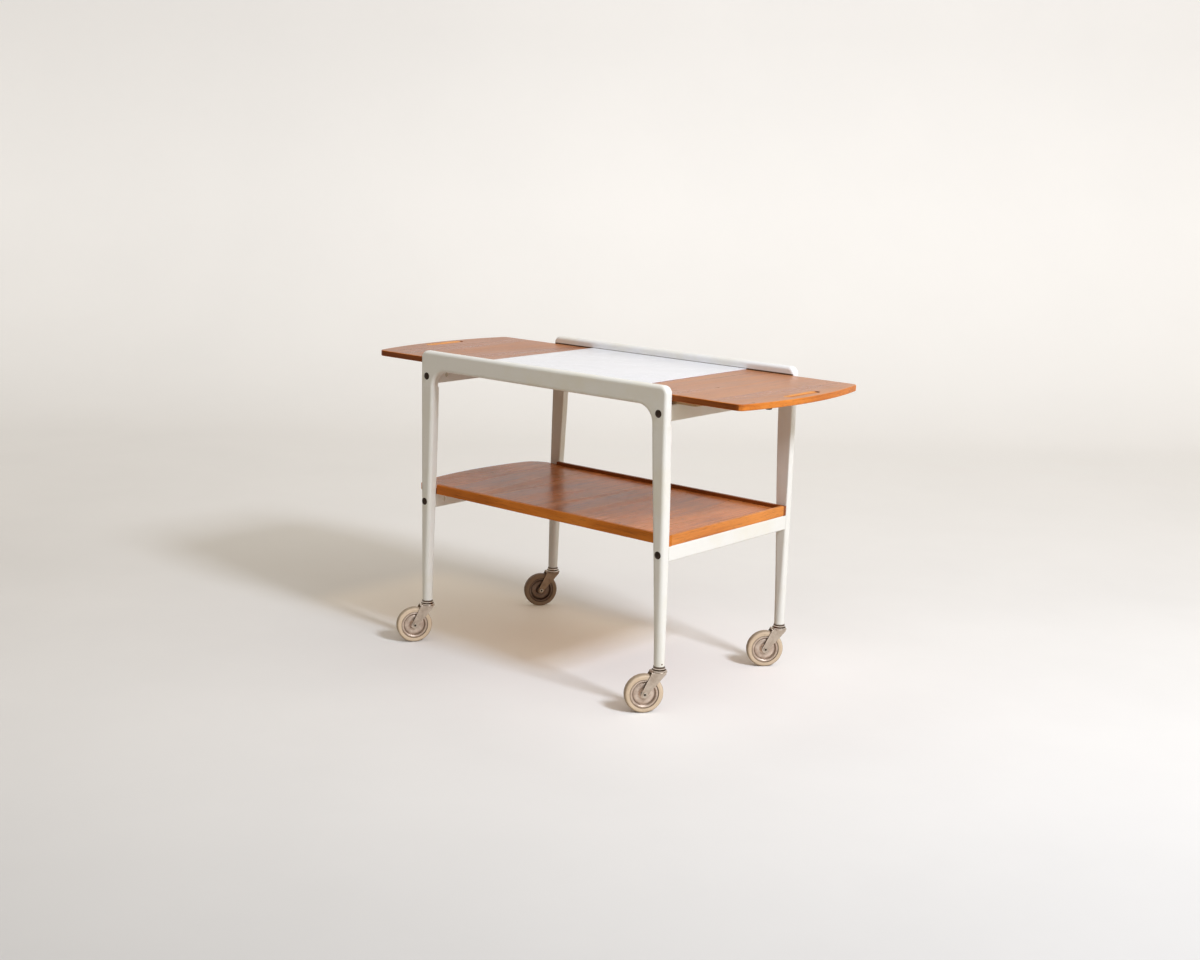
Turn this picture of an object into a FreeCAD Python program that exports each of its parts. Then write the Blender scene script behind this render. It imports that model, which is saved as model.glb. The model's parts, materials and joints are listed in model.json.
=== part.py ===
"""Serving trolley: white painted frame, two wooden pull-out leaves, a shelf and four swivel casters.

Millimetres, +Z up. X runs along the trolley, -Y is the near long side. The pieces are modelled with the
frame's centre plane at Y = 0 and the floor at Z = 0. export() then moves all of them by box_shift, so that
the origin lies on the floor under the centre of the whole trolley's box.
"""

import FreeCAD
import Part
import math
import os

from FreeCAD import Vector

# ---- frame ------------------------------------------------------------------------------------------
frame_length = 687.0          # between the outer ends of the long rails
frame_width = 455.0           # between the outer faces of the long rails
frame_thickness = 21.5        # thickness of the long rails and of the leg tops, across the trolley
surface_height = 647.0        # upper face of the white top plate above the floor
rail_rise = 16.0              # long rail above the top plate
rail_depth = 41.5             # height of the long rail between its ends
rail_corner = 16.0            # outer top corner of the long rail, seen from the side
rail_edge_round = 7.0         # rounding along the long rail's edges
haunch_drop = 37.5            # how far the rail's ends reach down to meet the legs
haunch_radius = 37.0          # hollow corner between rail and leg
leg_top_width = 36.4          # leg along X where it meets the rail
leg_foot_diameter = 22.0      # round foot end of the leg
leg_foot_height = 96.0        # lower end of the leg above the floor
leg_splay = 3.0               # outer side of the foot past the frame's end
leg_lean = 6.25               # foot centre stands this much further in along Y than the leg top's centre
leg_middle_height = 356.0     # section between the shelf and the rail
leg_middle_width = 28.5
leg_middle_round = 8.0        # roundings of the leg's two outer edges, and of its two inner ones
leg_middle_inner_round = 3.0
leg_low_height = 215.0        # section below the shelf, where the leg turns round
leg_low_width = 23.6
leg_low_round = 9.0
leg_low_inner_round = 6.5
leg_top_round = 7.0
leg_top_inner_round = 2.5
leg_fit = 0.05                # between a leg's inner face and what butts against it
leg_foot_flat = 0.15          # what is left of the foot section's straight sides, from the middle

# ---- cross rails ------------------------------------------------------------------------------------
cross_rail_thickness = 22.0
upper_rail_height = 33.5
upper_rail_gap = 7.8          # between the upper cross rail and the leaf, filled by the bearers
upper_rail_inset = 18.8       # from the frame's end to the middle of the upper cross rail
lower_rail_height = 31.5
lower_rail_inset = 10.9       # from the frame's end to the middle of the lower cross rail
cross_rail_round = 2.5
nut_pocket_lip = 0.01         # the nut's pocket starts this much before the rail's face

# ---- top plate and centre member --------------------------------------------------------------------
plate_length = 440.0
plate_thickness = 1.2
plate_seat = 6.0              # how deep the plate's long edges sit in the rails
plate_rebate = 0.4            # the plate's edges in the rails are this much thinner
plate_slack = 0.15            # free height above the plate's edge in its groove
centre_member_width = 40.0
centre_member_height = 25.0
window_clearance = 0.4        # round each bearer where it runs through the centre member
dowel_radius = 4.0
dowel_seat = 10.0             # dowel length in each of the pieces that it joins
dowel_end_room = 0.5          # free length past each end of a dowel
dowel_spacing = 20.0          # between the two dowels at each end of the centre member
dowel_drop = 13.5             # from the plate's upper face down to the dowels

# ---- leaves -----------------------------------------------------------------------------------------
leaf_reach = 531.0            # from the centre of the trolley to the middle of the leaf's curved end
leaf_under_plate = 12.0       # part of the leaf that stays under the plate when it is pulled out
leaf_relief = 0.3             # that part is this much thinner
leaf_relief_past_plate = 0.1  # it ends this much outside the plate
leaf_thickness = 13.0
leaf_end_radius = 750.0
leaf_corner = 15.0
leaf_edge_round = 2.0
leaf_side_clearance = 1.3     # between a leaf's long edge and the rail beside it
slide_clearance = 0.3         # between sliding faces that lie on each other
grip_length = 112.0
grip_width = 21.0
grip_depth = 3.8
grip_inset = 28.0             # from the middle of the curved end to the middle of the finger grip
grip_round = 2.6              # hollow between the finger grip's floor and its wall

# ---- bearers under the leaves -----------------------------------------------------------------------
bearer_width = 22.0
right_bearer_offset = 176.0   # from the centre plane to the middle of each right bearer
left_bearer_offset = 143.0    # from the centre plane to the middle of each left bearer
bearer_outer_reach = 385.0    # from the centre of the trolley to the bearer's outer end
bearer_overrun = 10.0         # bearer past the far face of the centre member when pulled out
bearer_relief_gap = 20.0      # from the leaf to the bearer's thinner part, which runs under the other leaf
stop_block_length = 18.0
stop_block_height = 10.0
peg_diameter = 14.0
peg_height = 12.0
peg_inset = 51.0              # from the middle of the leaf's curved end to each stop peg
peg_offset = 79.0             # from the centre plane to each stop peg
peg_round = 2.0

# ---- shelf ------------------------------------------------------------------------------------------
shelf_bottom = 341.5          # lower face of the shelf board above the floor
shelf_thickness = 13.8
shelf_overhang = 69.5         # middle of the curved left end past the frame's end
shelf_end_radius = 800.0
shelf_corner = 52.0
shelf_edge_round = 1.5
lip_height = 7.7
lip_thickness = 8.8
lip_round = 1.5
lip_start_inset = 27.5        # from the frame's left end to the start of the long lips

# ---- fasteners --------------------------------------------------------------------------------------
bolt_diameter = 6.0
bolt_head_diameter = 15.8
bolt_head_height = 2.6
bolt_slot_width = 1.6
bolt_slot_depth = 1.0
bolt_hole_clearance = 0.3
barrel_nut_diameter = 10.0
barrel_nut_length = 14.0
barrel_nut_depth = 28.5       # from the cross rail's end to the nut's axis
bolt_past_nut = 2.0
screw_diameter = 4.0
screw_head_diameter = 8.0
screw_head_height = 2.4
screw_bite = 8.0              # length of screw in the piece that it holds
screw_fit = 0.05              # radial room round a screw, pin or nut in its hole
screw_end_room = 0.5          # free length past a screw's tip
cutter_overrun = 1.0          # cutting shapes run this much past the faces that they cut
same_place = 1e-4             # edges and points closer than this count as in the same place
shelf_screw_offset = 120.0    # from the centre plane to each shelf screw
shelf_screw_inset = 5.0       # from the middle of the lower cross rail, towards the trolley's middle
bearer_screw_places = (0.64, 0.96)   # shares of the bearer's length, from its inner end

# ---- casters ----------------------------------------------------------------------------------------
wheel_diameter = 80.0
tyre_width = 18.0
tyre_round = 5.0
hub_diameter = 59.0
hub_rim_width = 13.6          # across the foot of the hub's rolled rim
hub_rim_bulge = 1.4           # how far the rolled rim swells on each side
hub_rim_band = 5.0            # radial width of the rolled rim
hub_web_width = 7.0
hub_boss_diameter = 17.0
hub_boss_width = 19.0
hub_rim_slope = 2.0           # radial width of the slope from the rolled rim to the web
hub_dish = 1.6                # how far the web swells halfway between rim and boss
hub_root = 2.0                # radial width of the slope from the web to the boss
hub_root_swell = 0.6
axle_diameter = 6.0
axle_clearance = 0.08         # radial running clearance of the hub on its axle
rivet_head_diameter = 9.0
rivet_head_height = 1.8
rivet_round = 1.1
caster_trail = 30.4           # from the swivel axis to the axle
fork_plate_thickness = 1.8
fork_side_clearance = 0.5     # between the hub's boss and each fork plate
fork_crown_diameter = 33.0
fork_crown_thickness = 2.5
fork_crown_round = 1.1
fork_nose_reach = 17.0        # from the swivel axis to the fork's end on the wheel's side
fork_heel_reach = 12.5        # from the swivel axis to the fork plate's other end
fork_waist_inset = 5.5        # the fork plate's waist, on the wheel's side of the swivel axis
fork_waist_height = 20.0      # above the axle
fork_foot_radius = 7.6        # rounded lower end of the fork plate
fork_foot_rise = 1.2          # the foot's arc ends this much above the axle
wheel_top_clearance = 3.0     # between the wheel and the fork's crown
cup_diameter = 30.0
cup_rim_height = 2.3          # straight lower rim of the cup
cup_collar_height = 2.6       # straight collar at the cup's top
cup_collar_overhang = 1.5     # collar past the leg's foot
cup_height = 7.5
cup_gap = 0.3                 # above and below the turning crown
stem_clearance = 0.08         # radial running clearance of the crown on its stem
stem_diameter = 8.0
stem_head_diameter = 15.0
stem_head_height = 2.6
stem_head_round = 1.3
stem_length_in_leg = 30.0
socket_diameter = 12.0
socket_length = 34.0
socket_flange_overhang = 0.6  # flange past the leg's foot
# Each caster's rest heading: how far its wheel trails round from -X towards -Y, in degrees.
caster_headings = {
    "near_left": 57.5,
    "near_right": 52.0,
    "far_left": 56.0,
    "far_right": 48.0,
}

# ---- worked-out places ------------------------------------------------------------------------------
half_length = frame_length / 2
half_width = frame_width / 2
rail_inner = half_width - frame_thickness
rail_top = surface_height + rail_rise
rail_bottom = rail_top - rail_depth
leg_top = rail_bottom - haunch_drop
leg_top_x = half_length - leg_top_width / 2
leg_top_y = half_width - frame_thickness / 2
leg_foot_x = half_length + leg_splay - leg_foot_diameter / 2
leg_foot_y = leg_top_y - leg_lean

plate_bottom = surface_height - plate_thickness
leaf_top = plate_bottom - slide_clearance
leaf_bottom = leaf_top - leaf_thickness
leaf_inner_end = plate_length / 2 - leaf_under_plate
leaf_half_width = rail_inner - leaf_side_clearance

upper_rail_top = leaf_bottom - upper_rail_gap
upper_rail_bottom = upper_rail_top - upper_rail_height
upper_rail_x = half_length - upper_rail_inset
upper_bolt_z = (upper_rail_top + upper_rail_bottom) / 2
bearer_bottom = upper_rail_top + slide_clearance
bearer_inner_end = -(centre_member_width / 2 + bearer_overrun)
stop_block_outer_end = upper_rail_x - cross_rail_thickness / 2 - slide_clearance
peg_reach = leaf_reach - peg_inset
leaf_travel = peg_reach - peg_diameter / 2 - (upper_rail_x + cross_rail_thickness / 2) - slide_clearance

shelf_top = shelf_bottom + shelf_thickness
lower_rail_top = shelf_bottom
lower_rail_bottom = lower_rail_top - lower_rail_height
lower_rail_x = half_length - lower_rail_inset
lower_bolt_z = (lower_rail_top + lower_rail_bottom) / 2


def leg_share(z):
    """0 at the leg's top, 1 at its foot."""
    return (leg_top - z) / (leg_top - leg_foot_height)


def leg_centre_y(z):
    """Distance from the centre plane to the leg's axis at height z."""
    return leg_top_y - leg_lean * leg_share(z)


def leg_thickness(z):
    """The leg's size across the trolley at height z."""
    return frame_thickness + (leg_foot_diameter - frame_thickness) * leg_share(z)


def leg_inner_face(z):
    """Distance from the centre plane to the leg's inner face at height z."""
    return leg_centre_y(z) - leg_thickness(z) / 2


lower_rail_half = leg_inner_face(lower_rail_bottom) - leg_fit
shelf_half_width = leg_inner_face(shelf_bottom) - leg_fit

axle_height = wheel_diameter / 2
crown_bottom = wheel_diameter + wheel_top_clearance
crown_top = crown_bottom + fork_crown_thickness
cup_bottom = crown_top + cup_gap
cup_top = cup_bottom + cup_height
fork_plate_inner = hub_boss_width / 2 + fork_side_clearance
fork_plate_outer = fork_plate_inner + fork_plate_thickness

near_heading = math.radians(max(caster_headings["near_left"], caster_headings["near_right"]))
near_wheel_reach = (
    leg_foot_y
    + (caster_trail + wheel_diameter / 2) * math.sin(near_heading)
    + (tyre_width / 2 - tyre_round) * math.cos(near_heading)
)
box_shift = Vector(0, (near_wheel_reach - half_width) / 2, 0)


# ---- helpers ----------------------------------------------------------------------------------------
def block(x0, x1, y0, y1, z0, z1):
    """Box between two corners."""
    return Part.makeBox(x1 - x0, y1 - y0, z1 - z0, Vector(x0, y0, z0))


def rod(radius, start, end):
    """Solid cylinder between two points."""
    start = Vector(*start)
    span = Vector(*end) - start
    return Part.makeCylinder(radius, span.Length, start, span)


def parallel_edges(shape, direction):
    """Straight edges that run along direction."""
    found = []
    for edge in shape.Edges:
        if not isinstance(edge.Curve, Part.Line):
            continue
        tangent = edge.tangentAt(edge.FirstParameter)
        if tangent.cross(direction).Length < same_place:
            found.append(edge)
    return found


def rounded_bar(x0, x1, y0, y1, z0, z1, direction, radius):
    """Box whose edges along direction are rounded."""
    bar = block(x0, x1, y0, y1, z0, z1)
    return bar.makeFillet(radius, parallel_edges(bar, direction))


def mirror_x(shape):
    return shape.mirror(Vector(0, 0, 0), Vector(1, 0, 0))


def mirror_y(shape):
    return shape.mirror(Vector(0, 0, 0), Vector(0, 1, 0))


def edges_at_height(shape, z):
    """Edges that lie wholly at height z."""
    found = []
    for edge in shape.Edges:
        box = edge.BoundBox
        if abs(box.ZMin - z) < same_place and abs(box.ZMax - z) < same_place:
            found.append(edge)
    return found


# ---- frame pieces -----------------------------------------------------------------------------------
def rail_profile():
    """Side outline of the long rail with its two haunches, in the plane Y = 0."""
    inner_x = half_length - leg_top_width
    bend_x = inner_x - haunch_radius
    bend_z = rail_bottom - haunch_radius
    diagonal = math.sqrt(0.5)

    def corner(side):
        """Points of the outer top corner's arc."""
        x = side * (half_length - rail_corner)
        z = rail_top - rail_corner
        middle = Vector(x + side * rail_corner * diagonal, 0, z + rail_corner * diagonal)
        return Vector(side * half_length, 0, z), middle, Vector(x, 0, rail_top)

    def hollow(side):
        """Points of the hollow haunch's arc, from the rail to the leg."""
        middle = Vector(side * (bend_x + haunch_radius * diagonal), 0, bend_z + haunch_radius * diagonal)
        return Vector(side * bend_x, 0, rail_bottom), middle, Vector(side * inner_x, 0, bend_z)

    def foot(side):
        """Points of the haunch's lower end."""
        return Vector(side * inner_x, 0, leg_top), Vector(side * half_length, 0, leg_top)

    edges = []
    for side in (1, -1):
        hollow_start, hollow_middle, hollow_end = hollow(side)
        foot_inner, foot_outer = foot(side)
        corner_start, corner_middle, corner_end = corner(side)
        edges.append(Part.Arc(hollow_start, hollow_middle, hollow_end).toShape())
        if (hollow_end - foot_inner).Length > same_place:
            edges.append(Part.makeLine(hollow_end, foot_inner))
        edges.append(Part.makeLine(foot_inner, foot_outer))
        edges.append(Part.makeLine(foot_outer, corner_start))
        edges.append(Part.Arc(corner_start, corner_middle, corner_end).toShape())
    edges.append(Part.makeLine(hollow(-1)[0], hollow(1)[0]))
    edges.append(Part.makeLine(corner(-1)[2], corner(1)[2]))
    return Part.Wire(Part.__sortEdges__(edges))


def face_rim_edges(shape, y, skip_z):
    """Edges of the side face at y, without the cut end at height skip_z."""
    found = []
    for edge in shape.Edges:
        box = edge.BoundBox
        on_face = abs(box.YMin - y) < same_place and abs(box.YMax - y) < same_place
        at_foot = abs(box.ZMin - skip_z) < same_place and abs(box.ZMax - skip_z) < same_place
        if on_face and not at_foot:
            found.append(edge)
    return found


def long_rail():
    """Near rail with rounded edges, the plate's groove and the bolt holes."""
    rail = Part.Face(rail_profile()).extrude(Vector(0, frame_thickness, 0))
    rail.translate(Vector(0, -half_width, 0))
    rims = face_rim_edges(rail, -half_width, leg_top) + face_rim_edges(rail, -rail_inner, leg_top)
    rail = rail.makeFillet(rail_edge_round, rims)
    groove = block(
        -plate_length / 2, plate_length / 2,
        -rail_inner - plate_seat, -rail_inner + cutter_overrun,
        plate_bottom, surface_height - plate_rebate + plate_slack,
    )
    rail = rail.cut(groove)
    for side in (1, -1):
        rail = rail.cut(bolt_hole(side * upper_rail_x, upper_bolt_z, half_width))
        rail = rail.cut(centre_dowel(side, dowel_radius + screw_fit, dowel_end_room))
    return rail


def leg_section(centre_x, centre_y, z, width, thickness, outer, inner):
    """Rectangle at height z, with eight edges: its outer (-Y) and inner corners have their own rounding."""
    x0 = centre_x - width / 2
    x1 = centre_x + width / 2
    y0 = centre_y - thickness / 2
    y1 = centre_y + thickness / 2
    outer_bulge = outer * (1 - math.sqrt(0.5))
    inner_bulge = inner * (1 - math.sqrt(0.5))
    corners = (
        ((x1 - outer, y0), (x1 - outer_bulge, y0 + outer_bulge), (x1, y0 + outer)),
        ((x1, y1 - inner), (x1 - inner_bulge, y1 - inner_bulge), (x1 - inner, y1)),
        ((x0 + inner, y1), (x0 + inner_bulge, y1 - inner_bulge), (x0, y1 - inner)),
        ((x0, y0 + outer), (x0 + outer_bulge, y0 + outer_bulge), (x0 + outer, y0)),
    )
    edges = []
    last = corners[-1][-1]
    for start, middle, end in corners:
        edges.append(Part.makeLine(Vector(*last, z), Vector(*start, z)))
        edges.append(Part.Arc(Vector(*start, z), Vector(*middle, z), Vector(*end, z)).toShape())
        last = end
    return Part.Wire(edges)


def leg():
    """Near right leg: rectangular at the rail, round at the foot."""
    foot_corner = leg_foot_diameter / 2 - leg_foot_flat
    sections = (
        (leg_foot_height, leg_foot_diameter, foot_corner, foot_corner),
        (leg_low_height, leg_low_width, leg_low_round, leg_low_inner_round),
        (leg_middle_height, leg_middle_width, leg_middle_round, leg_middle_inner_round),
        (leg_top, leg_top_width, leg_top_round, leg_top_inner_round),
    )
    wires = []
    for z, width, outer, inner in sections:
        centre_x = half_length + leg_splay * leg_share(z) - width / 2
        wires.append(leg_section(centre_x, -leg_centre_y(z), z, width, leg_thickness(z), outer, inner))
    body = Part.makeLoft(wires, True, False)
    body = body.cut(bolt_hole(lower_rail_x, lower_bolt_z, half_width))
    pocket = socket_length + screw_fit
    return body.cut(
        rod(
            socket_diameter / 2 + screw_fit,
            (leg_foot_x, -leg_foot_y, leg_foot_height - cutter_overrun),
            (leg_foot_x, -leg_foot_y, leg_foot_height + pocket),
        )
    )


def cross_rail(centre_x, half_span, z0, z1, bolt_z):
    """Cross rail between the frame's sides, bored for its bolts and barrel nuts."""
    rail = rounded_bar(
        centre_x - cross_rail_thickness / 2, centre_x + cross_rail_thickness / 2,
        -half_span, half_span, z0, z1, Vector(0, 1, 0), cross_rail_round,
    )
    for side in (1, -1):
        end = side * half_span
        nut_y = side * (half_span - barrel_nut_depth)
        tip = nut_y - side * (barrel_nut_diameter / 2 + bolt_past_nut + screw_end_room)
        start = end + side * cutter_overrun
        hole_radius = bolt_diameter / 2 + bolt_hole_clearance
        rail = rail.cut(rod(hole_radius, (centre_x, start, bolt_z), (centre_x, tip, bolt_z)))
        rail = rail.cut(nut_body(centre_x, nut_y, bolt_z, screw_fit, nut_pocket_lip))
    return rail


def nut_body(centre_x, nut_y, bolt_z, extra, lip):
    """Barrel nut's cylinder, entered from the cross rail's inner face. lip is its length past that face."""
    inner_x = centre_x - cross_rail_thickness / 2
    return rod(
        barrel_nut_diameter / 2 + extra,
        (inner_x - lip, nut_y, bolt_z),
        (inner_x + barrel_nut_length + extra, nut_y, bolt_z),
    )


def barrel_nut(centre_x, half_span, bolt_z):
    """One barrel nut at the near end of the right cross rail, with its cross hole and screwdriver slot."""
    nut_y = -(half_span - barrel_nut_depth)
    nut = nut_body(centre_x, nut_y, bolt_z, 0.0, 0.0)
    radius = bolt_diameter / 2 + screw_fit
    reach = barrel_nut_diameter
    nut = nut.cut(rod(radius, (centre_x, nut_y - reach, bolt_z), (centre_x, nut_y + reach, bolt_z)))
    inner_x = centre_x - cross_rail_thickness / 2
    half_slot = bolt_slot_width / 2
    slot = block(
        inner_x - cutter_overrun, inner_x + bolt_slot_depth,
        nut_y - half_slot, nut_y + half_slot,
        bolt_z - barrel_nut_diameter, bolt_z + barrel_nut_diameter,
    )
    return nut.cut(slot)


def bolt_hole(x, z, outer_face):
    """Clearance hole through the near side of the frame."""
    radius = bolt_diameter / 2 + bolt_hole_clearance
    return rod(radius, (x, -outer_face - cutter_overrun, z), (x, -outer_face + 2 * frame_thickness, z))


def frame_bolt(x, z, outer_face, tip_y):
    """Slotted bolt with a low domed head on the near face of the frame."""
    shank = rod(bolt_diameter / 2, (x, -outer_face, z), (x, tip_y, z))
    head_radius = bolt_head_diameter / 2
    dome_radius = (head_radius ** 2 + bolt_head_height ** 2) / (2 * bolt_head_height)
    dome = Part.makeSphere(dome_radius, Vector(x, -outer_face - bolt_head_height + dome_radius, z))
    disc = rod(head_radius, (x, -outer_face, z), (x, -outer_face - bolt_head_height, z))
    head = disc.common(dome)
    half_slot = bolt_slot_width / 2
    slot = block(
        x - half_slot, x + half_slot,
        -outer_face - bolt_head_height - cutter_overrun, -outer_face - bolt_head_height + bolt_slot_depth,
        z - head_radius, z + head_radius,
    )
    return head.cut(slot).fuse(shank).removeSplitter()


def four_corners(shape):
    """The shape and its three mirror copies, as separate solids."""
    pair = [shape, mirror_x(shape)]
    return Part.makeCompound(pair + [mirror_y(one) for one in pair])


# ---- top --------------------------------------------------------------------------------------------
def centre_dowel(side, radius, extra):
    """Dowel between the near rail and the centre member, right or left of the middle."""
    x = side * dowel_spacing / 2
    z = surface_height - dowel_drop
    return rod(radius, (x, -rail_inner - dowel_seat - extra, z), (x, -rail_inner + dowel_seat + extra, z))


def top_plate():
    """Thin white plate, held by its rebated long edges in the rails' grooves."""
    half_x = plate_length / 2 - screw_fit
    inner_y = rail_inner - screw_fit
    outer_y = rail_inner + plate_seat - screw_fit
    plate = block(-half_x, half_x, -inner_y, inner_y, plate_bottom, surface_height)
    tongues = block(-half_x, half_x, -outer_y, outer_y, plate_bottom, surface_height - plate_rebate)
    return plate.fuse(tongues).removeSplitter()


def centre_member():
    """Board across the middle that carries the plate and keeps the bearers down."""
    half = centre_member_width / 2
    bottom = plate_bottom - centre_member_height
    member = rounded_bar(
        -half, half, -rail_inner, rail_inner, bottom, plate_bottom, Vector(0, 1, 0), cross_rail_round,
    )
    for offset in (right_bearer_offset, left_bearer_offset):
        for side in (1, -1):
            reach = bearer_width / 2 + window_clearance
            window = block(
                -half - cutter_overrun, half + cutter_overrun,
                side * offset - reach, side * offset + reach,
                bearer_bottom - window_clearance, leaf_bottom + window_clearance,
            )
            member = member.cut(window)
    for side in (1, -1):
        dowel = centre_dowel(side, dowel_radius + screw_fit, dowel_end_room)
        member = member.cut(dowel).cut(mirror_y(dowel))
    return member


def curved_board(x0, reach, half_y, z0, thickness, end_radius, corner, edge_round):
    """Board from x0 to a bowed end at reach, with rounded corners there and soft edges."""
    board = block(x0, reach, -half_y, half_y, z0, z0 + thickness)
    bow = Part.makeCylinder(end_radius, thickness, Vector(reach - end_radius, 0, z0))
    board = board.common(bow)
    ends = []
    for edge in parallel_edges(board, Vector(0, 0, 1)):
        if edge.BoundBox.XMin > (x0 + reach) / 2:
            ends.append(edge)
    board = board.makeFillet(corner, ends)
    soft = edges_at_height(board, z0 + thickness) + edges_at_height(board, z0)
    return board.makeFillet(edge_round, soft)


def leaf_screw_hole(x, y):
    """Pilot hole in the leaf's underside."""
    radius = screw_diameter / 2 + screw_fit
    tip = leaf_bottom + screw_bite + screw_end_room
    return rod(radius, (x, y, leaf_bottom - cutter_overrun), (x, y, tip))


def bearer_screw_xs():
    """Places of the screws along a right bearer, all under the leaf."""
    length = bearer_outer_reach - bearer_inner_end
    return [bearer_inner_end + share * length for share in bearer_screw_places]


def leaf_board(bearer_offset):
    """Right-hand leaf with its finger grip and the holes for screws and pegs."""
    leaf = curved_board(
        leaf_inner_end, leaf_reach, leaf_half_width, leaf_bottom,
        leaf_thickness, leaf_end_radius, leaf_corner, leaf_edge_round,
    )
    leaf = leaf.cut(finger_grip())
    relief = block(
        leaf_inner_end - cutter_overrun, plate_length / 2 + leaf_relief_past_plate,
        -half_width, half_width, leaf_top - leaf_relief, leaf_top + cutter_overrun,
    )
    leaf = leaf.cut(relief)
    for side in (1, -1):
        for x in bearer_screw_xs() + [stop_block_x()]:
            leaf = leaf.cut(leaf_screw_hole(x, side * bearer_offset))
        leaf = leaf.cut(leaf_screw_hole(peg_reach, side * peg_offset))
    return leaf


def finger_grip():
    """Round-ended scoop in the leaf's upper face."""
    x = leaf_reach - grip_inset
    half = grip_length / 2 - grip_width / 2
    radius = grip_width / 2
    z0 = leaf_top - grip_depth
    z1 = leaf_top + cutter_overrun
    scoop = block(x - radius, x + radius, -half, half, z0, z1)
    for side in (1, -1):
        scoop = scoop.fuse(rod(radius, (x, side * half, z0), (x, side * half, z1)))
    scoop = scoop.removeSplitter()
    return scoop.makeFillet(grip_round, edges_at_height(scoop, z0))


def bearer(y):
    """Right-hand bearer: a flat runner screwed under the leaf, a little thinner where it meets the other one."""
    half = bearer_width / 2
    runner = block(bearer_inner_end, bearer_outer_reach, y - half, y + half, bearer_bottom, leaf_bottom)
    relief = block(
        bearer_inner_end - cutter_overrun, leaf_inner_end - bearer_relief_gap,
        y - half - cutter_overrun, y + half + cutter_overrun,
        leaf_bottom - slide_clearance, leaf_bottom + cutter_overrun,
    )
    runner = runner.cut(relief)
    for x in bearer_screw_xs():
        runner = runner.cut(screw(x, y, bearer_bottom, screw_fit))
    runner = runner.cut(stop_block_screw(y, screw_fit))
    return runner


def screw(x, y, z, extra):
    """Countersunk screw that points up from the face at height z."""
    head_radius = screw_head_diameter / 2 + extra
    radius = screw_diameter / 2 + extra
    head = Part.makeCone(head_radius, radius, screw_head_height, Vector(x, y, z), Vector(0, 0, 1))
    tip = leaf_bottom + screw_bite
    return head.fuse(rod(radius, (x, y, z), (x, y, tip))).removeSplitter()


def stop_block_x():
    """Middle of the stop block along X."""
    return stop_block_outer_end - stop_block_length / 2


def stop_block_screw(y, extra):
    """Screw through the stop block and the bearer into the leaf."""
    return screw(stop_block_x(), y, bearer_bottom - stop_block_height, extra)


def stop_block(y):
    """Block under the bearer that meets the cross rail when the leaf is fully out."""
    half = bearer_width / 2
    x0 = stop_block_outer_end - stop_block_length
    body = block(
        x0, stop_block_outer_end, y - half, y + half, bearer_bottom - stop_block_height, bearer_bottom,
    )
    return body.cut(stop_block_screw(y, screw_fit))


def stop_peg(y):
    """Turned peg under the leaf that meets the cross rail when the leaf is fully in, with its screw pin."""
    peg = rod(peg_diameter / 2, (peg_reach, y, leaf_bottom), (peg_reach, y, leaf_bottom - peg_height))
    peg = peg.makeFillet(peg_round, edges_at_height(peg, leaf_bottom - peg_height))
    pin = rod(screw_diameter / 2, (peg_reach, y, leaf_bottom), (peg_reach, y, leaf_bottom + screw_bite))
    return peg.fuse(pin).removeSplitter()


def pair(make, offset):
    """Near and far copies of a piece, as separate solids."""
    return Part.makeCompound([make(-offset), make(offset)])


def leaf_screws(offset):
    """All screws of the right-hand leaf."""
    screws = []
    for side in (-1, 1):
        for x in bearer_screw_xs():
            screws.append(screw(x, side * offset, bearer_bottom, 0.0))
        screws.append(stop_block_screw(side * offset, 0.0))
    return Part.makeCompound(screws)


def leaf_pieces(offset, name, turn):
    """Every piece of one leaf. turn mirrors them for the left side."""
    made = {
        name + "_leaf_board": leaf_board(offset),
        name + "_leaf_near_bearer": bearer(-offset),
        name + "_leaf_far_bearer": bearer(offset),
        name + "_leaf_stop_blocks": pair(stop_block, offset),
        name + "_leaf_stop_pegs": pair(stop_peg, peg_offset),
        name + "_leaf_screws": leaf_screws(offset),
    }
    return {node: turn(shape) for node, shape in made.items()}


# ---- shelf ------------------------------------------------------------------------------------------
def shelf_board():
    """Shelf with a bowed left end, notched on its other sides for the lips."""
    reach = half_length + shelf_overhang
    board = curved_board(
        -half_length, reach, shelf_half_width, shelf_bottom,
        shelf_thickness, shelf_end_radius, shelf_corner, shelf_edge_round,
    )
    board = mirror_x(board)
    inner = shelf_half_width - lip_thickness
    z0 = shelf_bottom - cutter_overrun
    z1 = shelf_top + cutter_overrun
    side_start = -half_length + lip_start_inset
    past_end = half_length + cutter_overrun
    for y0, y1 in ((inner, half_width), (-half_width, -inner)):
        board = board.cut(block(side_start, past_end, y0, y1, z0, z1))
    board = board.cut(block(half_length - lip_thickness, past_end, -half_width, half_width, z0, z1))
    for x, y in shelf_screw_places():
        board = board.cut(shelf_screw(x, y, screw_fit))
    return board


def shelf_screw_places():
    """Shelf screws: two in each lower cross rail."""
    x = lower_rail_x - shelf_screw_inset
    return [(sx * x, sy * shelf_screw_offset) for sx in (1, -1) for sy in (1, -1)]


def shelf_screw(x, y, extra):
    """Screw up through a lower cross rail into the shelf."""
    head_radius = screw_head_diameter / 2 + extra
    radius = screw_diameter / 2 + extra
    base = Vector(x, y, lower_rail_bottom)
    head = Part.makeCone(head_radius, radius, screw_head_height, base, Vector(0, 0, 1))
    shank = rod(radius, (x, y, lower_rail_bottom), (x, y, shelf_bottom + screw_bite + extra))
    return head.fuse(shank).removeSplitter()


def long_lip():
    """Near lip: an edge strip that stands above the shelf."""
    return rounded_bar(
        -half_length + lip_start_inset, half_length,
        -shelf_half_width, -shelf_half_width + lip_thickness,
        shelf_bottom, shelf_top + lip_height, Vector(1, 0, 0), lip_round,
    )


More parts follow.
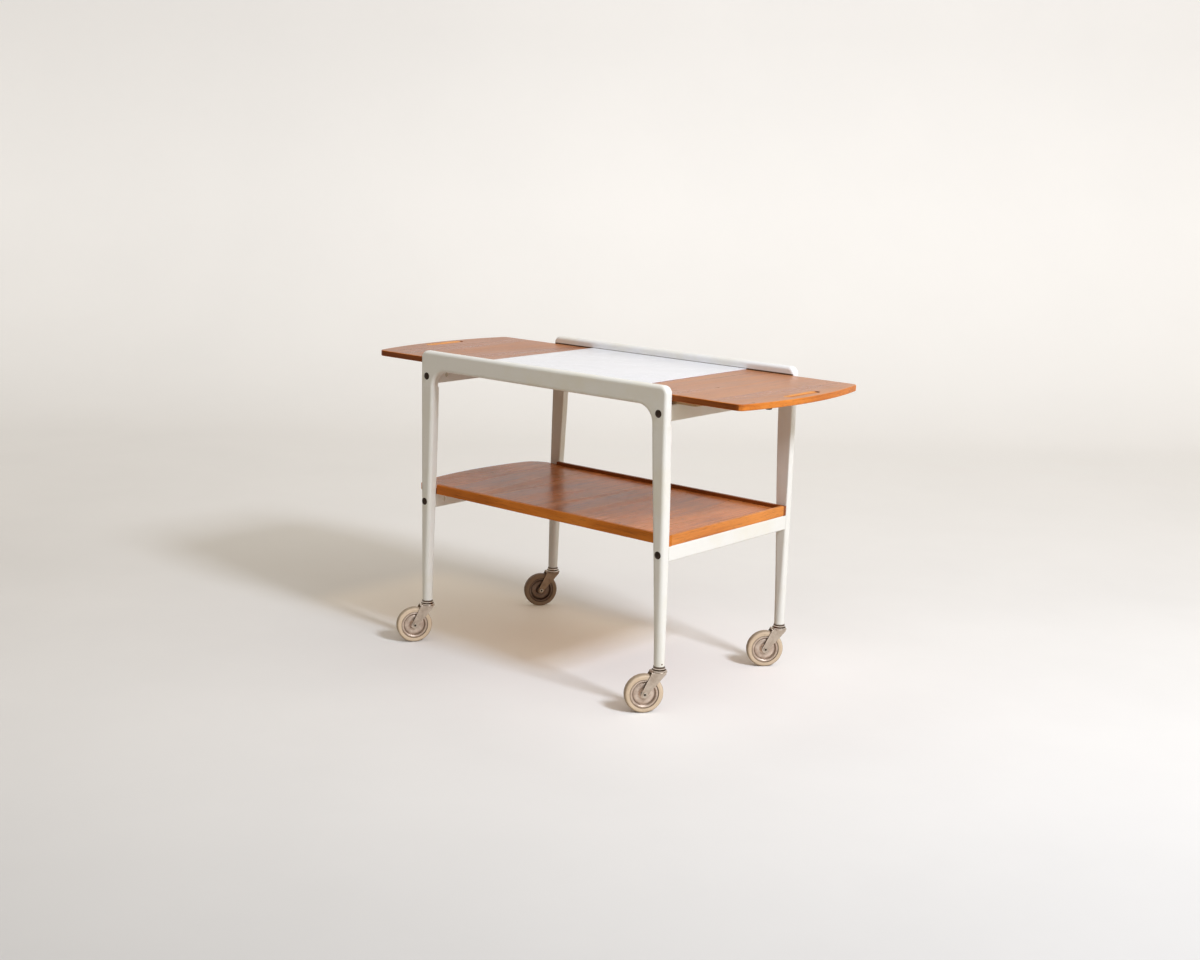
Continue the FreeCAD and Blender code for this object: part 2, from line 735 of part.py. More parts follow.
def end_lip():
    """Right lip of the shelf, between the long lips."""
    inner = shelf_half_width - lip_thickness - screw_fit
    return rounded_bar(
        half_length - lip_thickness, half_length, -inner, inner,
        shelf_bottom, shelf_top + lip_height, Vector(0, 1, 0), lip_round,
    )


# ---- casters ----------------------------------------------------------------------------------------
def tyre():
    """Solid rubber tyre with rounded shoulders, centred on the axle."""
    outer = wheel_diameter / 2
    half = tyre_width / 2
    ring = rod(outer, (0, -half, 0), (0, half, 0))
    shoulders = []
    for edge in ring.Edges:
        if isinstance(edge.Curve, Part.Circle):
            shoulders.append(edge)
    ring = ring.makeFillet(tyre_round, shoulders)
    return ring.cut(rod(hub_diameter / 2, (0, -half - cutter_overrun, 0), (0, half + cutter_overrun, 0)))


def hub_side_edges(side):
    """Profile edges of one side of the hub, from its rim to its bore. side is 1 or -1 along the axle."""
    rim = hub_diameter / 2
    rim_foot = hub_rim_width / 2
    rim_inner = rim - hub_rim_band
    web = hub_web_width / 2
    web_outer = rim_inner - hub_rim_slope
    boss = hub_boss_diameter / 2
    root = boss + hub_root

    def point(radius, offset):
        return Vector(radius, side * offset, 0)

    rim_crest = point((rim + rim_inner) / 2, rim_foot + hub_rim_bulge)
    web_crest = point((web_outer + root) / 2, web + hub_dish)
    boss_face = hub_boss_width / 2
    bore = axle_diameter / 2 + axle_clearance
    return [
        Part.Arc(point(rim, rim_foot), rim_crest, point(rim_inner, rim_foot)).toShape(),
        Part.makeLine(point(rim_inner, rim_foot), point(web_outer, web)),
        Part.Arc(point(web_outer, web), web_crest, point(root, web + hub_root_swell)).toShape(),
        Part.makeLine(point(root, web + hub_root_swell), point(boss, boss_face)),
        Part.makeLine(point(boss, boss_face), point(bore, boss_face)),
    ]


def hub():
    """Pressed metal hub: rolled rim, dished web and bored boss, centred on the axle."""
    rim = hub_diameter / 2
    rim_foot = hub_rim_width / 2
    bore = axle_diameter / 2 + axle_clearance
    boss_face = hub_boss_width / 2
    edges = hub_side_edges(1) + hub_side_edges(-1)
    edges.append(Part.makeLine(Vector(rim, -rim_foot, 0), Vector(rim, rim_foot, 0)))
    edges.append(Part.makeLine(Vector(bore, -boss_face, 0), Vector(bore, boss_face, 0)))
    wire = Part.Wire(Part.__sortEdges__(edges))
    return Part.Face(wire).revolve(Vector(0, 0, 0), Vector(0, 1, 0), 360)


def fork_plate_profile():
    """Outline of one fork plate in the plane Y = 0, from the crown down to the axle."""
    axle_place = Vector(-caster_trail, 0, axle_height)
    foot_left = axle_place + Vector(-fork_foot_radius, 0, fork_foot_rise)
    foot_right = axle_place + Vector(fork_foot_radius, 0, fork_foot_rise)
    foot_low = axle_place + Vector(0, 0, -fork_foot_radius)
    top = crown_bottom + fork_crown_thickness / 2
    top_left = Vector(-fork_nose_reach, 0, top)
    top_right = Vector(fork_heel_reach, 0, top)
    heel = Vector(fork_heel_reach, 0, crown_bottom - fork_plate_thickness)
    waist = Vector(-fork_waist_inset, 0, axle_height + fork_waist_height)
    edges = [
        Part.makeLine(top_right, top_left),
        Part.makeLine(top_left, foot_left),
        Part.Arc(foot_left, foot_low, foot_right).toShape(),
        Part.makeLine(foot_right, waist),
        Part.makeLine(waist, heel),
        Part.makeLine(heel, top_right),
    ]
    return Part.Wire(edges)


def fork():
    """Pressed steel fork: round crown, its squarer roof over the wheel and two plates."""
    roof = block(
        -fork_nose_reach, fork_heel_reach, -fork_plate_outer, fork_plate_outer, crown_bottom, crown_top,
    )
    crown = rod(fork_crown_diameter / 2, (0, 0, crown_bottom), (0, 0, crown_top))
    body = crown.fuse(roof).removeSplitter()
    body = body.makeFillet(fork_crown_round, edges_at_height(body, crown_top))
    for side in (1, -1):
        plate = Part.Face(fork_plate_profile()).extrude(Vector(0, fork_plate_thickness, 0))
        plate.translate(Vector(0, fork_plate_inner if side > 0 else -fork_plate_outer, 0))
        body = body.fuse(plate)
    hole = stem_diameter / 2 + stem_clearance
    body = body.cut(rod(hole, (0, 0, crown_bottom - cutter_overrun), (0, 0, crown_top + cutter_overrun)))
    radius = axle_diameter / 2 + screw_fit
    reach = fork_plate_outer + cutter_overrun
    axle_hole = rod(radius, (-caster_trail, -reach, axle_height), (-caster_trail, reach, axle_height))
    return body.cut(axle_hole).removeSplitter()


def axle():
    """Riveted axle through the fork, in the swivel's own frame."""
    end = fork_plate_outer
    pin = rod(axle_diameter / 2, (-caster_trail, -end, axle_height), (-caster_trail, end, axle_height))
    for side in (1, -1):
        outer = side * (end + rivet_head_height)
        start = (-caster_trail, side * end, axle_height)
        head = rod(rivet_head_diameter / 2, start, (-caster_trail, outer, axle_height))
        rim = [edge for edge in head.Edges if abs(edge.BoundBox.YMin - outer) < same_place]
        rim = [edge for edge in rim if abs(edge.BoundBox.YMax - outer) < same_place]
        pin = pin.fuse(head.makeFillet(rivet_round, rim))
    return pin.removeSplitter()


def caster_stem():
    """Stem with its riveted head under the fork, fixed in the leg."""
    head_top = crown_bottom - cup_gap
    head_bottom = head_top - stem_head_height
    head = rod(stem_head_diameter / 2, (0, 0, head_bottom), (0, 0, head_top))
    head = head.makeFillet(stem_head_round, edges_at_height(head, head_bottom))
    shank = rod(stem_diameter / 2, (0, 0, head_top), (0, 0, leg_foot_height + stem_length_in_leg))
    return head.fuse(shank).removeSplitter()


def swivel_cup():
    """Fixed upper race: a domed cup with a collar under the leg."""
    outer = cup_diameter / 2
    collar = leg_foot_diameter / 2 + cup_collar_overhang
    collar_bottom = cup_top - cup_collar_height
    bore = stem_diameter / 2 + screw_fit
    profile = [
        Vector(bore, 0, cup_bottom),
        Vector(outer, 0, cup_bottom),
        Vector(outer, 0, cup_bottom + cup_rim_height),
        Vector(collar, 0, collar_bottom),
        Vector(collar, 0, cup_top),
        Vector(bore, 0, cup_top),
        Vector(bore, 0, cup_bottom),
    ]
    return Part.Face(Part.makePolygon(profile)).revolve(Vector(0, 0, 0), Vector(0, 0, 1), 360)


def caster_socket():
    """Sleeve pressed into the leg's foot, with a flange under the leg."""
    bore = stem_diameter / 2 + screw_fit
    flange_radius = leg_foot_diameter / 2 + socket_flange_overhang
    sleeve = rod(socket_diameter / 2, (0, 0, leg_foot_height), (0, 0, leg_foot_height + socket_length))
    flange = rod(flange_radius, (0, 0, cup_top), (0, 0, leg_foot_height))
    body = sleeve.fuse(flange)
    top = leg_foot_height + socket_length + cutter_overrun
    return body.cut(rod(bore, (0, 0, cup_top - cutter_overrun), (0, 0, top)))


def corner_sign(corner):
    """Signs of X and Y for a corner's name."""
    return (1 if "right" in corner else -1), (1 if "far" in corner else -1)


def at_caster(shape, corner, turned=True):
    """Copy of a swivel-frame shape at its corner's leg, at rest."""
    sign_x, sign_y = corner_sign(corner)
    placed = shape.copy()
    if turned:
        placed.rotate(Vector(0, 0, 0), Vector(0, 0, 1), caster_headings[corner])
    placed.translate(Vector(sign_x * leg_foot_x, sign_y * leg_foot_y, 0))
    return placed


def on_axle(shape):
    """Moves a wheel piece from the origin to the axle in the swivel's frame."""
    placed = shape.copy()
    placed.translate(Vector(-caster_trail, 0, axle_height))
    return placed


def caster_pieces():
    """Turning pieces of the four casters."""
    made = {}
    for corner in caster_headings:
        name = corner + "_caster_"
        made[name + "fork"] = at_caster(fork(), corner)
        made[name + "axle"] = at_caster(axle(), corner)
        made[name + "hub"] = at_caster(on_axle(hub()), corner)
        made[name + "tyre"] = at_caster(on_axle(tyre()), corner)
    return made


def at_all_casters(shape):
    """The same fixed piece at each leg, as separate solids."""
    return Part.makeCompound([at_caster(shape, corner, turned=False) for corner in caster_headings])


# ---- assembly ---------------------------------------------------------------------------------------
def frame_pieces():
    """Rails, legs and cross rails."""
    near_rail = long_rail()
    right_leg = leg()
    left_leg = mirror_x(right_leg)
    upper = cross_rail(upper_rail_x, rail_inner, upper_rail_bottom, upper_rail_top, upper_bolt_z)
    lower = cross_rail(lower_rail_x, lower_rail_half, lower_rail_bottom, lower_rail_top, lower_bolt_z)
    for x, y in shelf_screw_places():
        lower = lower.cut(shelf_screw(x, y, screw_fit))
    return {
        "near_rail": near_rail,
        "far_rail": mirror_y(near_rail),
        "near_right_leg": right_leg,
        "near_left_leg": left_leg,
        "far_right_leg": mirror_y(right_leg),
        "far_left_leg": mirror_y(left_leg),
        "right_upper_cross_rail": upper,
        "left_upper_cross_rail": mirror_x(upper),
        "right_lower_cross_rail": lower,
        "left_lower_cross_rail": mirror_x(lower),
    }


def fastener_pieces():
    """Bolts, barrel nuts and dowels of the frame."""
    past_nut = barrel_nut_diameter / 2 + bolt_past_nut
    upper_tip = -(rail_inner - barrel_nut_depth) + past_nut
    lower_tip = -(lower_rail_half - barrel_nut_depth) + past_nut
    head_top = lower_bolt_z + bolt_head_diameter / 2
    lower_face = leg_centre_y(head_top) + leg_thickness(head_top) / 2 + leg_fit
    dowels = [centre_dowel(side, dowel_radius, 0.0) for side in (1, -1)]
    dowels += [mirror_y(dowel) for dowel in dowels]
    return {
        "upper_frame_bolts": four_corners(frame_bolt(upper_rail_x, upper_bolt_z, half_width, upper_tip)),
        "lower_frame_bolts": four_corners(frame_bolt(lower_rail_x, lower_bolt_z, lower_face, lower_tip)),
        "upper_barrel_nuts": four_corners(barrel_nut(upper_rail_x, rail_inner, upper_bolt_z)),
        "lower_barrel_nuts": four_corners(barrel_nut(lower_rail_x, lower_rail_half, lower_bolt_z)),
        "centre_member_dowels": Part.makeCompound(dowels),
    }


def shelf_pieces():
    """Shelf board, its lips and screws."""
    screws = [shelf_screw(x, y, 0.0) for x, y in shelf_screw_places()]
    return {
        "shelf_board": shelf_board(),
        "shelf_near_lip": long_lip(),
        "shelf_far_lip": mirror_y(long_lip()),
        "shelf_right_lip": end_lip(),
        "shelf_screws": Part.makeCompound(screws),
    }


def all_pieces():
    """Every node's shape by name."""
    pieces = {"top_plate": top_plate(), "centre_member": centre_member()}
    pieces.update(frame_pieces())
    pieces.update(fastener_pieces())
    pieces.update(shelf_pieces())
    pieces.update(leaf_pieces(right_bearer_offset, "right", lambda shape: shape))
    pieces.update(leaf_pieces(left_bearer_offset, "left", mirror_x))
    pieces.update(caster_pieces())
    pieces["caster_stems"] = at_all_casters(caster_stem())
    pieces["swivel_cups"] = at_all_casters(swivel_cup())
    pieces["caster_sockets"] = at_all_casters(caster_socket())
    return pieces


def export(pieces):
    """Moves each piece to the origin's frame and writes its STEP file."""
    os.makedirs("parts", exist_ok=True)
    for node, shape in pieces.items():
        placed = shape.copy()
        placed.translate(box_shift)
        placed.exportStep("parts/" + node + ".step")
    print("nodes", len(pieces))
    print("box shift", round(box_shift.y, 3), "leaf travel", round(leaf_travel, 3))


export(all_pieces())
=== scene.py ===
"""Trolley scene: camera, studio and a procedural finish for every CAD node."""

import json
import math

import bpy
from mathutils import Matrix, Vector


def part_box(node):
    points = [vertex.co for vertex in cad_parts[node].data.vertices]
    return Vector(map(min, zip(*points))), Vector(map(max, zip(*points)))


CORNERS = ("near_left", "near_right", "far_left", "far_right")
X, Y, Z = 0, 1, 2

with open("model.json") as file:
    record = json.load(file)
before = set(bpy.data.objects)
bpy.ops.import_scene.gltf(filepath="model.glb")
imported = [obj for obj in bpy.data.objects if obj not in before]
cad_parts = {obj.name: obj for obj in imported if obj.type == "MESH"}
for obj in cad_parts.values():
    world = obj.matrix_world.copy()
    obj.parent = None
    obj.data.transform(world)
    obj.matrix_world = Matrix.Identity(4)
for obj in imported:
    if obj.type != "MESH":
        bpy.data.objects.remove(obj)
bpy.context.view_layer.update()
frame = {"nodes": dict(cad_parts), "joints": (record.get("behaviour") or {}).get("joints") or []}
nodes = frame["nodes"]


# ---- node helpers -----------------------------------------------------------------------------------
def add(tree, kind, inputs=(), **settings):
    """New node. inputs maps socket names or numbers to constants or to output sockets."""
    node = tree.nodes.new(kind)
    for key, value in settings.items():
        setattr(node, key, value)
    for name, value in dict(inputs).items():
        socket = node.inputs[name]
        if isinstance(value, bpy.types.NodeSocket):
            tree.links.new(value, socket)
        else:
            socket.default_value = value
    return node


def object_coords(tree):
    return add(tree, "ShaderNodeTexCoord").outputs["Object"]


def component(tree, vector, axis):
    """One axis of a vector: X, Y or Z."""
    return add(tree, "ShaderNodeSeparateXYZ", {0: vector}).outputs[axis]


def mapped(tree, coords, scale, offset=(0.0, 0.0, 0.0), turn=0.0):
    """Coordinates turned about Z and scaled per axis, for a pattern that is longer along one of them."""
    inputs = {"Vector": coords, "Scale": scale, "Location": offset, "Rotation": (0.0, 0.0, turn)}
    return add(tree, "ShaderNodeMapping", inputs).outputs[0]


def noise(tree, coords, scale, detail=3.0, roughness=0.5, distortion=0.0):
    inputs = {
        "Vector": coords, "Scale": scale, "Detail": detail,
        "Roughness": roughness, "Distortion": distortion,
    }
    return add(tree, "ShaderNodeTexNoise", inputs).outputs[0]


def ramp(tree, factor, stops):
    """Colour ramp. stops are (position, linear colour)."""
    node = add(tree, "ShaderNodeValToRGB", {0: factor})
    elements = node.color_ramp.elements
    while len(elements) < len(stops):
        elements.new(0.5)
    for element, (position, colour) in zip(elements, stops):
        element.position = position
        element.color = (*colour, 1.0)
    return node.outputs[0]


def band(tree, value, low, high, out_low=0.0, out_high=1.0, interpolation_type="LINEAR"):
    """Value mapped from low..high to out_low..out_high, clamped."""
    inputs = {0: value, 1: low, 2: high, 3: out_low, 4: out_high}
    return add(tree, "ShaderNodeMapRange", inputs, interpolation_type=interpolation_type).outputs[0]


def maths(tree, operation, first, second=0.0):
    return add(tree, "ShaderNodeMath", {0: first, 1: second}, operation=operation).outputs[0]


def plus(tree, first, second):
    return maths(tree, "ADD", first, second)


def times(tree, first, second):
    return maths(tree, "MULTIPLY", first, second)


def vector_maths(tree, operation, first, second=(0.0, 0.0, 0.0)):
    """Outputs of a vector maths node: the vector is number 0, and a plain number is "Value"."""
    return add(tree, "ShaderNodeVectorMath", {0: first, 1: second}, operation=operation).outputs


def dot(tree, first, second):
    return vector_maths(tree, "DOT_PRODUCT", first, second)["Value"]


def mix(tree, factor, first, second, blend="MIX"):
    """Colour mix. first and second are linear RGB triples or sockets."""
    def colour(value):
        return value if isinstance(value, bpy.types.NodeSocket) else (*value, 1.0)

    inputs = {0: factor, 6: colour(first), 7: colour(second)}
    return add(tree, "ShaderNodeMix", inputs, data_type="RGBA", blend_type=blend).outputs[2]


def shaded(tree, colour, shade):
    """Colour times a grey shade."""
    return mix(tree, 1.0, colour, shade, "MULTIPLY")


def bump(tree, height, strength, distance):
    inputs = {"Height": height, "Strength": strength, "Distance": distance}
    return add(tree, "ShaderNodeBump", inputs).outputs[0]


def new_material(name):
    """Empty material, and its tree."""
    material = bpy.data.materials.new(name)
    material.use_nodes = True
    material.node_tree.nodes.clear()
    return material, material.node_tree


def surface(tree, inputs):
    """Principled surface with these inputs, joined to the output."""
    shader = add(tree, "ShaderNodeBsdfPrincipled", inputs)
    add(tree, "ShaderNodeOutputMaterial", {"Surface": shader.outputs[0]})


# ---- wood -------------------------------------------------------------------------------------------
# How often the veneer's patterns repeat in a metre: across the grain and along it.
FIGURE_SCALE = (16.0, 1.7)
LINE_SCALE = (150.0, 4.0)
PORE_SCALE = (900.0, 42.0)
MOTTLE_SCALE = 6.0
FIGURE_SHARE = 0.62           # of the colour's change, beside the growth lines
LINE_SHARE = 0.38
PORE_DEPTH = 0.45             # how dark the pores are
PORE_SHADE = 0.35             # their colour, of that of the dark wood
DROP_SCALE = 75.0
WOOD_SCRATCH_SCALE = (520.0, 26.0, 1.0)
WOOD_SCRATCH_TURN = 0.5
MARK_SHADE = 0.2              # the drops' and scratches' colour, of that of the dark wood


def wood(name, tones, grain_axis, offset, roughness=(0.24, 0.36), gloss=0.5, stain=0.1, spots=0.0):
    """Oiled veneer: wide figure, growth lines, short dark pores and a soft sheen.

    tones are the light, the middle and the dark colour. stain is how much soft patches differ in shade.
    spots is how dark the spilt drops and the slanting scratches of use are.
    """
    light, middle, dark = tones
    material, tree = new_material(name)
    coords = object_coords(tree)

    def along_grain(across, along):
        scale = [across] * 3
        scale[grain_axis] = along
        return mapped(tree, coords, scale, offset)

    figure = noise(tree, along_grain(*FIGURE_SCALE), 1.0, detail=5.0, roughness=0.55, distortion=1.1)
    lines = noise(tree, along_grain(*LINE_SCALE), 1.0, detail=4.0, roughness=0.6, distortion=0.6)
    pores = noise(tree, along_grain(*PORE_SCALE), 1.0, detail=2.0)
    mottle = noise(tree, coords, MOTTLE_SCALE, detail=2.0)
    blend = plus(tree, times(tree, figure, FIGURE_SHARE), times(tree, lines, LINE_SHARE))
    colour = ramp(tree, blend, ((0.34, dark), (0.50, middle), (0.64, light)))
    pore_mask = band(tree, pores, 0.57, 0.70)
    colour = mix(tree, times(tree, pore_mask, PORE_DEPTH), colour, [PORE_SHADE * c for c in dark])
    colour = shaded(tree, colour, band(tree, mottle, 0.3, 0.7, 1.0 - stain, 1.0 + 0.6 * stain))
    if spots:
        drops = band(tree, noise(tree, coords, DROP_SCALE, detail=3.0, roughness=0.6), 0.66, 0.72)
        slanting = mapped(tree, coords, WOOD_SCRATCH_SCALE, turn=WOOD_SCRATCH_TURN)
        scratches = band(tree, noise(tree, slanting, 1.0, detail=1.0, roughness=0.4), 0.74, 0.78)
        marks = times(tree, maths(tree, "MAXIMUM", drops, scratches), spots)
        colour = mix(tree, marks, colour, [MARK_SHADE * c for c in dark])
    height = maths(tree, "SUBTRACT", times(tree, lines, 0.4), pore_mask)
    surface(tree, {
        "Base Color": colour, "IOR": 1.42, "Specular IOR Level": gloss,
        "Roughness": band(tree, figure, 0.3, 0.7, *roughness),
        "Normal": bump(tree, height, 0.35, 0.00012),
    })
    return material


# ---- paint and laminate -----------------------------------------------------------------------------
BRUSH_SCALE = 420.0           # repeats in a metre across the brush's strokes
STROKE_SCALE = 9.0            # and along them
AGED_SCALE = 7.0
PEEL_SCALE = 620.0
CHIP_SCALE = 95.0
YELLOWING = (0.96, 0.93, 0.84)       # aged paint's colour, of that of fresh paint
BRUSH_SHARE = 0.10
CHIP_LEVELS = (0.795, 0.815)         # of the chips' noise, where a chip starts and is whole
CHIP_LEVEL_DROP = 0.03               # for full wear
CHIP_COVER = 0.75
CHIP_COLOUR = (0.30, 0.21, 0.13)
JOINT_SHADOW_DEPTH = (0.002, 0.001)         # metres from the face, where its painted shadow starts and is whole
JOINT_SHADOW_HEIGHT = (0.0014, 0.0006)      # the same above the line
JOINT_SHADOW_COLOUR = (0.10, 0.06, 0.04)
FLAKE_RIM = (0.0027, 0.0021)         # metres from a flake's middle, where it starts and is whole
FLAKE_RAGGEDNESS = 0.0014
FLAKE_COLOUR = (0.14, 0.08, 0.05)


def paint(name, colour, long_axis, wear=0.5, joint=None, flake=None):
    """Brushed-on lacquer: faint marks along the piece, aged patches and small chips.

    joint is (y, z): a painted shadow, as of a gap, darkens the line at this height on the face at this y.
    flake is the place of one larger chip, down to the wood.
    """
    material, tree = new_material(name)
    coords = object_coords(tree)
    scale = [BRUSH_SCALE] * 3
    scale[long_axis] = STROKE_SCALE
    brush = noise(tree, mapped(tree, coords, scale), 1.0, detail=2.0)
    aged = noise(tree, coords, AGED_SCALE, detail=4.0, roughness=0.6)
    peel = noise(tree, coords, PEEL_SCALE, detail=2.0)
    chips = noise(tree, coords, CHIP_SCALE, detail=3.0, roughness=0.62)
    yellowed = [c * fade for c, fade in zip(colour, YELLOWING)]
    tone = mix(tree, band(tree, aged, 0.45, 0.72), colour, yellowed)
    tone = mix(tree, times(tree, band(tree, brush, 0.35, 0.65), BRUSH_SHARE), tone, yellowed)
    chip_mask = band(tree, chips, *(level - CHIP_LEVEL_DROP * wear for level in CHIP_LEVELS))
    tone = mix(tree, times(tree, chip_mask, CHIP_COVER), tone, CHIP_COLOUR)
    # Painted shadow along the gap at the joint line.
    if joint:
        face, line = joint
        on_face = band(tree, component(tree, coords, Y), *(face + depth for depth in JOINT_SHADOW_DEPTH))
        on_line = band(tree, component(tree, coords, Z), *(line + height for height in JOINT_SHADOW_HEIGHT))
        tone = mix(tree, times(tree, on_face, on_line), tone, JOINT_SHADOW_COLOUR)
    if flake:
        gap = vector_maths(tree, "DISTANCE", coords, flake)["Value"]
        rim = plus(tree, gap, times(tree, peel, FLAKE_RAGGEDNESS))
        tone = mix(tree, band(tree, rim, *FLAKE_RIM), tone, FLAKE_COLOUR)
    height = plus(tree, times(tree, brush, 0.6), times(tree, peel, 0.5))
    height = maths(tree, "SUBTRACT", height, chip_mask)
    surface(tree, {
        "Base Color": tone, "IOR": 1.47,
        "Roughness": band(tree, aged, 0.3, 0.7, 0.30, 0.42),
        "Normal": bump(tree, height, 0.22, 0.00010),
    })
    return material


LAMINATE_COLOUR = (0.87, 0.89, 0.965)
LAMINATE_WORN = (0.84, 0.86, 0.93)
LAMINATE_SCRATCHED = (0.72, 0.72, 0.74)
LAMINATE_SCRATCHES = ((0.45, (900.0, 14.0, 1.0)), (-0.9, (700.0, 10.0, 1.0)))   # turns and scales
SCRATCH_COVER = 0.10
SCRATCH_ROUGHNESS = 0.08
SMUDGE_SCALE = 9.0


def laminate(name):
    """White plastic laminate with fine crossing scratches and a few dull smudges of use."""
    material, tree = new_material(name)
    coords = object_coords(tree)
    scratches = []
    for turn, scale in LAMINATE_SCRATCHES:
        slanting = mapped(tree, coords, scale, turn=turn)
        scratches.append(band(tree, noise(tree, slanting, 1.0, detail=1.0, roughness=0.4), 0.70, 0.78))
    scratch = maths(tree, "MAXIMUM", *scratches)
    smudge = noise(tree, coords, SMUDGE_SCALE, detail=4.0, roughness=0.6, distortion=0.8)
    colour = mix(tree, band(tree, smudge, 0.4, 0.75), LAMINATE_COLOUR, LAMINATE_WORN)
    colour = mix(tree, times(tree, scratch, SCRATCH_COVER), colour, LAMINATE_SCRATCHED)
    dullness = band(tree, smudge, 0.35, 0.7, 0.15, 0.26)
    surface(tree, {
        "Base Color": colour, "IOR": 1.5,
        "Roughness": plus(tree, dullness, times(tree, scratch, SCRATCH_ROUGHNESS)),
        "Normal": bump(tree, times(tree, scratch, -1.0), 0.06, 0.00004),
    })
    return material


# ---- metal and rubber -------------------------------------------------------------------------------
STAIN_SCALE = 70.0            # repeats in a metre
GRAIN_SCALE = 1440.0
GRAIN_DEPTH = 0.18
GRAIN_SHADE = 0.6
ROUGHNESS_SPREAD = 0.16       # between polished and stained metal


def metal(name, colour, roughness, stain, stain_amount, metallic=1.0):
    """Worn metal: fine mottling, stains in patches and uneven polish."""
    material, tree = new_material(name)
    coords = object_coords(tree)
    patches = noise(tree, coords, STAIN_SCALE, detail=5.0, roughness=0.65)
    fine = noise(tree, coords, GRAIN_SCALE, detail=3.0, roughness=0.6)
    tone = mix(tree, times(tree, band(tree, patches, 0.45, 0.75), stain_amount), colour, stain)
    tone = mix(tree, times(tree, fine, GRAIN_DEPTH), tone, [GRAIN_SHADE * c for c in colour])
    surface(tree, {
        "Base Color": tone, "Metallic": metallic,
        "Roughness": band(tree, patches, 0.3, 0.75, roughness, roughness + ROUGHNESS_SPREAD),
        "Normal": bump(tree, fine, 0.12, 0.00005),
    })
    return material


CUP_PATCH_SCALE = 90.0
CUP_HIGHLIGHT = (0.70, 0.62, 0.54)
CUP_SHADE = (0.07, 0.045, 0.03)
CUP_TARNISH = (0.36, 0.27, 0.19)
CUP_TARNISH_SHARE = 0.3
# Shares of the cup's height from its foot: painted highlights on the rims, painted shade and reflection in
# the hollow between them and under the leg.
CUP_LIGHT_STOPS = (
    (0.0, CUP_HIGHLIGHT), (0.30, CUP_HIGHLIGHT), (0.38, CUP_SHADE), (0.60, CUP_SHADE),
    (0.66, CUP_HIGHLIGHT), (0.88, CUP_HIGHLIGHT), (0.96, CUP_SHADE),
)


def cup_metal(name):
    """Nickel cup with painted light: highlights on the rims, shade and dark reflection in the hollow
    between them and under the leg, and tarnish in patches.
    """
    material, tree = new_material(name)
    coords = object_coords(tree)
    low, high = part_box("swivel_cups")[0][2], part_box("swivel_cups")[1][2]
    patches = noise(tree, coords, CUP_PATCH_SCALE, detail=4.0, roughness=0.6)
    # Painted highlight and shade in bands up the cup.
    rings = ramp(tree, band(tree, component(tree, coords, Z), low, high), CUP_LIGHT_STOPS)
    surface(tree, {
        "Base Color": mix(tree, times(tree, patches, CUP_TARNISH_SHARE), rings, CUP_TARNISH),
        "Metallic": 1.0,
        "Roughness": band(tree, patches, 0.3, 0.75, 0.16, 0.30),
        "Normal": bump(tree, patches, 0.10, 0.00005),
    })
    return material


def radius_from(tree, centre, axis):
    """Distance from a wheel's axle line, in metres."""
    offset = vector_maths(tree, "SUBTRACT", object_coords(tree), centre)[0]
    inputs = {0: axis, "Scale": dot(tree, offset, axis)}
    along = add(tree, "ShaderNodeVectorMath", inputs, operation="SCALE").outputs[0]
    across = vector_maths(tree, "SUBTRACT", offset, along)[0]
    return vector_maths(tree, "LENGTH", across)["Value"]


TYRE_DIRT_SCALE = 130.0
TYRE_TONE_SCALE = 22.0
TYRE_CREAM = (0.74, 0.59, 0.435)
TYRE_AGED = (0.66, 0.515, 0.365)
# Painted shade for a wheel in the shelf's shadow.
TYRE_SHADE_COLOUR = (0.165, 0.082, 0.036)
TREAD_RADIUS = (0.0382, 0.0405)      # metres from the axle, where the tread's dirt starts and is whole
TREAD_RAGGEDNESS = 0.0016
TREAD_COVER = 0.55
TREAD_DIRT = (0.20, 0.15, 0.10)
TYRE_JOINT_RADIUS = (0.0309, 0.0299)
TYRE_JOINT_COVER = 0.75
TYRE_JOINT_SHADE = (0.16, 0.10, 0.06)
TYRE_SPOT_COVER = 0.30
TYRE_SPOTS = (0.32, 0.24, 0.16)


def tyre_rubber(name, centre, axis, painted_shade):
    """Aged cream rubber, dirtier on the tread, with painted shade in the joint with the hub and, for a
    wheel in the shelf's shadow, over all of it.
    """
    material, tree = new_material(name)
    coords = object_coords(tree)
    radius = radius_from(tree, centre, axis)
    dirt = noise(tree, coords, TYRE_DIRT_SCALE, detail=5.0, roughness=0.65)
    soft = noise(tree, coords, TYRE_TONE_SCALE, detail=3.0)
    tone = mix(tree, band(tree, soft, 0.35, 0.7), TYRE_CREAM, TYRE_AGED)
    tread = band(tree, plus(tree, radius, times(tree, dirt, TREAD_RAGGEDNESS)), *TREAD_RADIUS)
    tone = mix(tree, times(tree, tread, TREAD_COVER), tone, TREAD_DIRT)
    # Painted shade where the tyre meets the hub's rim.
    joint = band(tree, radius, *TYRE_JOINT_RADIUS)
    tone = mix(tree, times(tree, joint, TYRE_JOINT_COVER), tone, TYRE_JOINT_SHADE)
    tone = mix(tree, times(tree, band(tree, dirt, 0.55, 0.75), TYRE_SPOT_COVER), tone, TYRE_SPOTS)
    # Painted shade over the whole tyre, for a wheel in the shelf's shadow.
    tone = mix(tree, painted_shade, tone, TYRE_SHADE_COLOUR)
    surface(tree, {
        "Base Color": tone, "IOR": 1.5,
        "Roughness": band(tree, dirt, 0.3, 0.7, 0.48, 0.66),
        "Normal": bump(tree, dirt, 0.20, 0.00020),
    })
    return material


AXLE_PIT_SCALE = 400.0
AXLE_PUNCH = (0.05, 0.035, 0.025)
AXLE_RIM = (0.55, 0.48, 0.40)
AXLE_PUNCH_RADIUS = (0.0024, 0.0032)         # metres, where the punched middle ends and the rim starts
AXLE_PUNCH_RAGGEDNESS = 0.0008


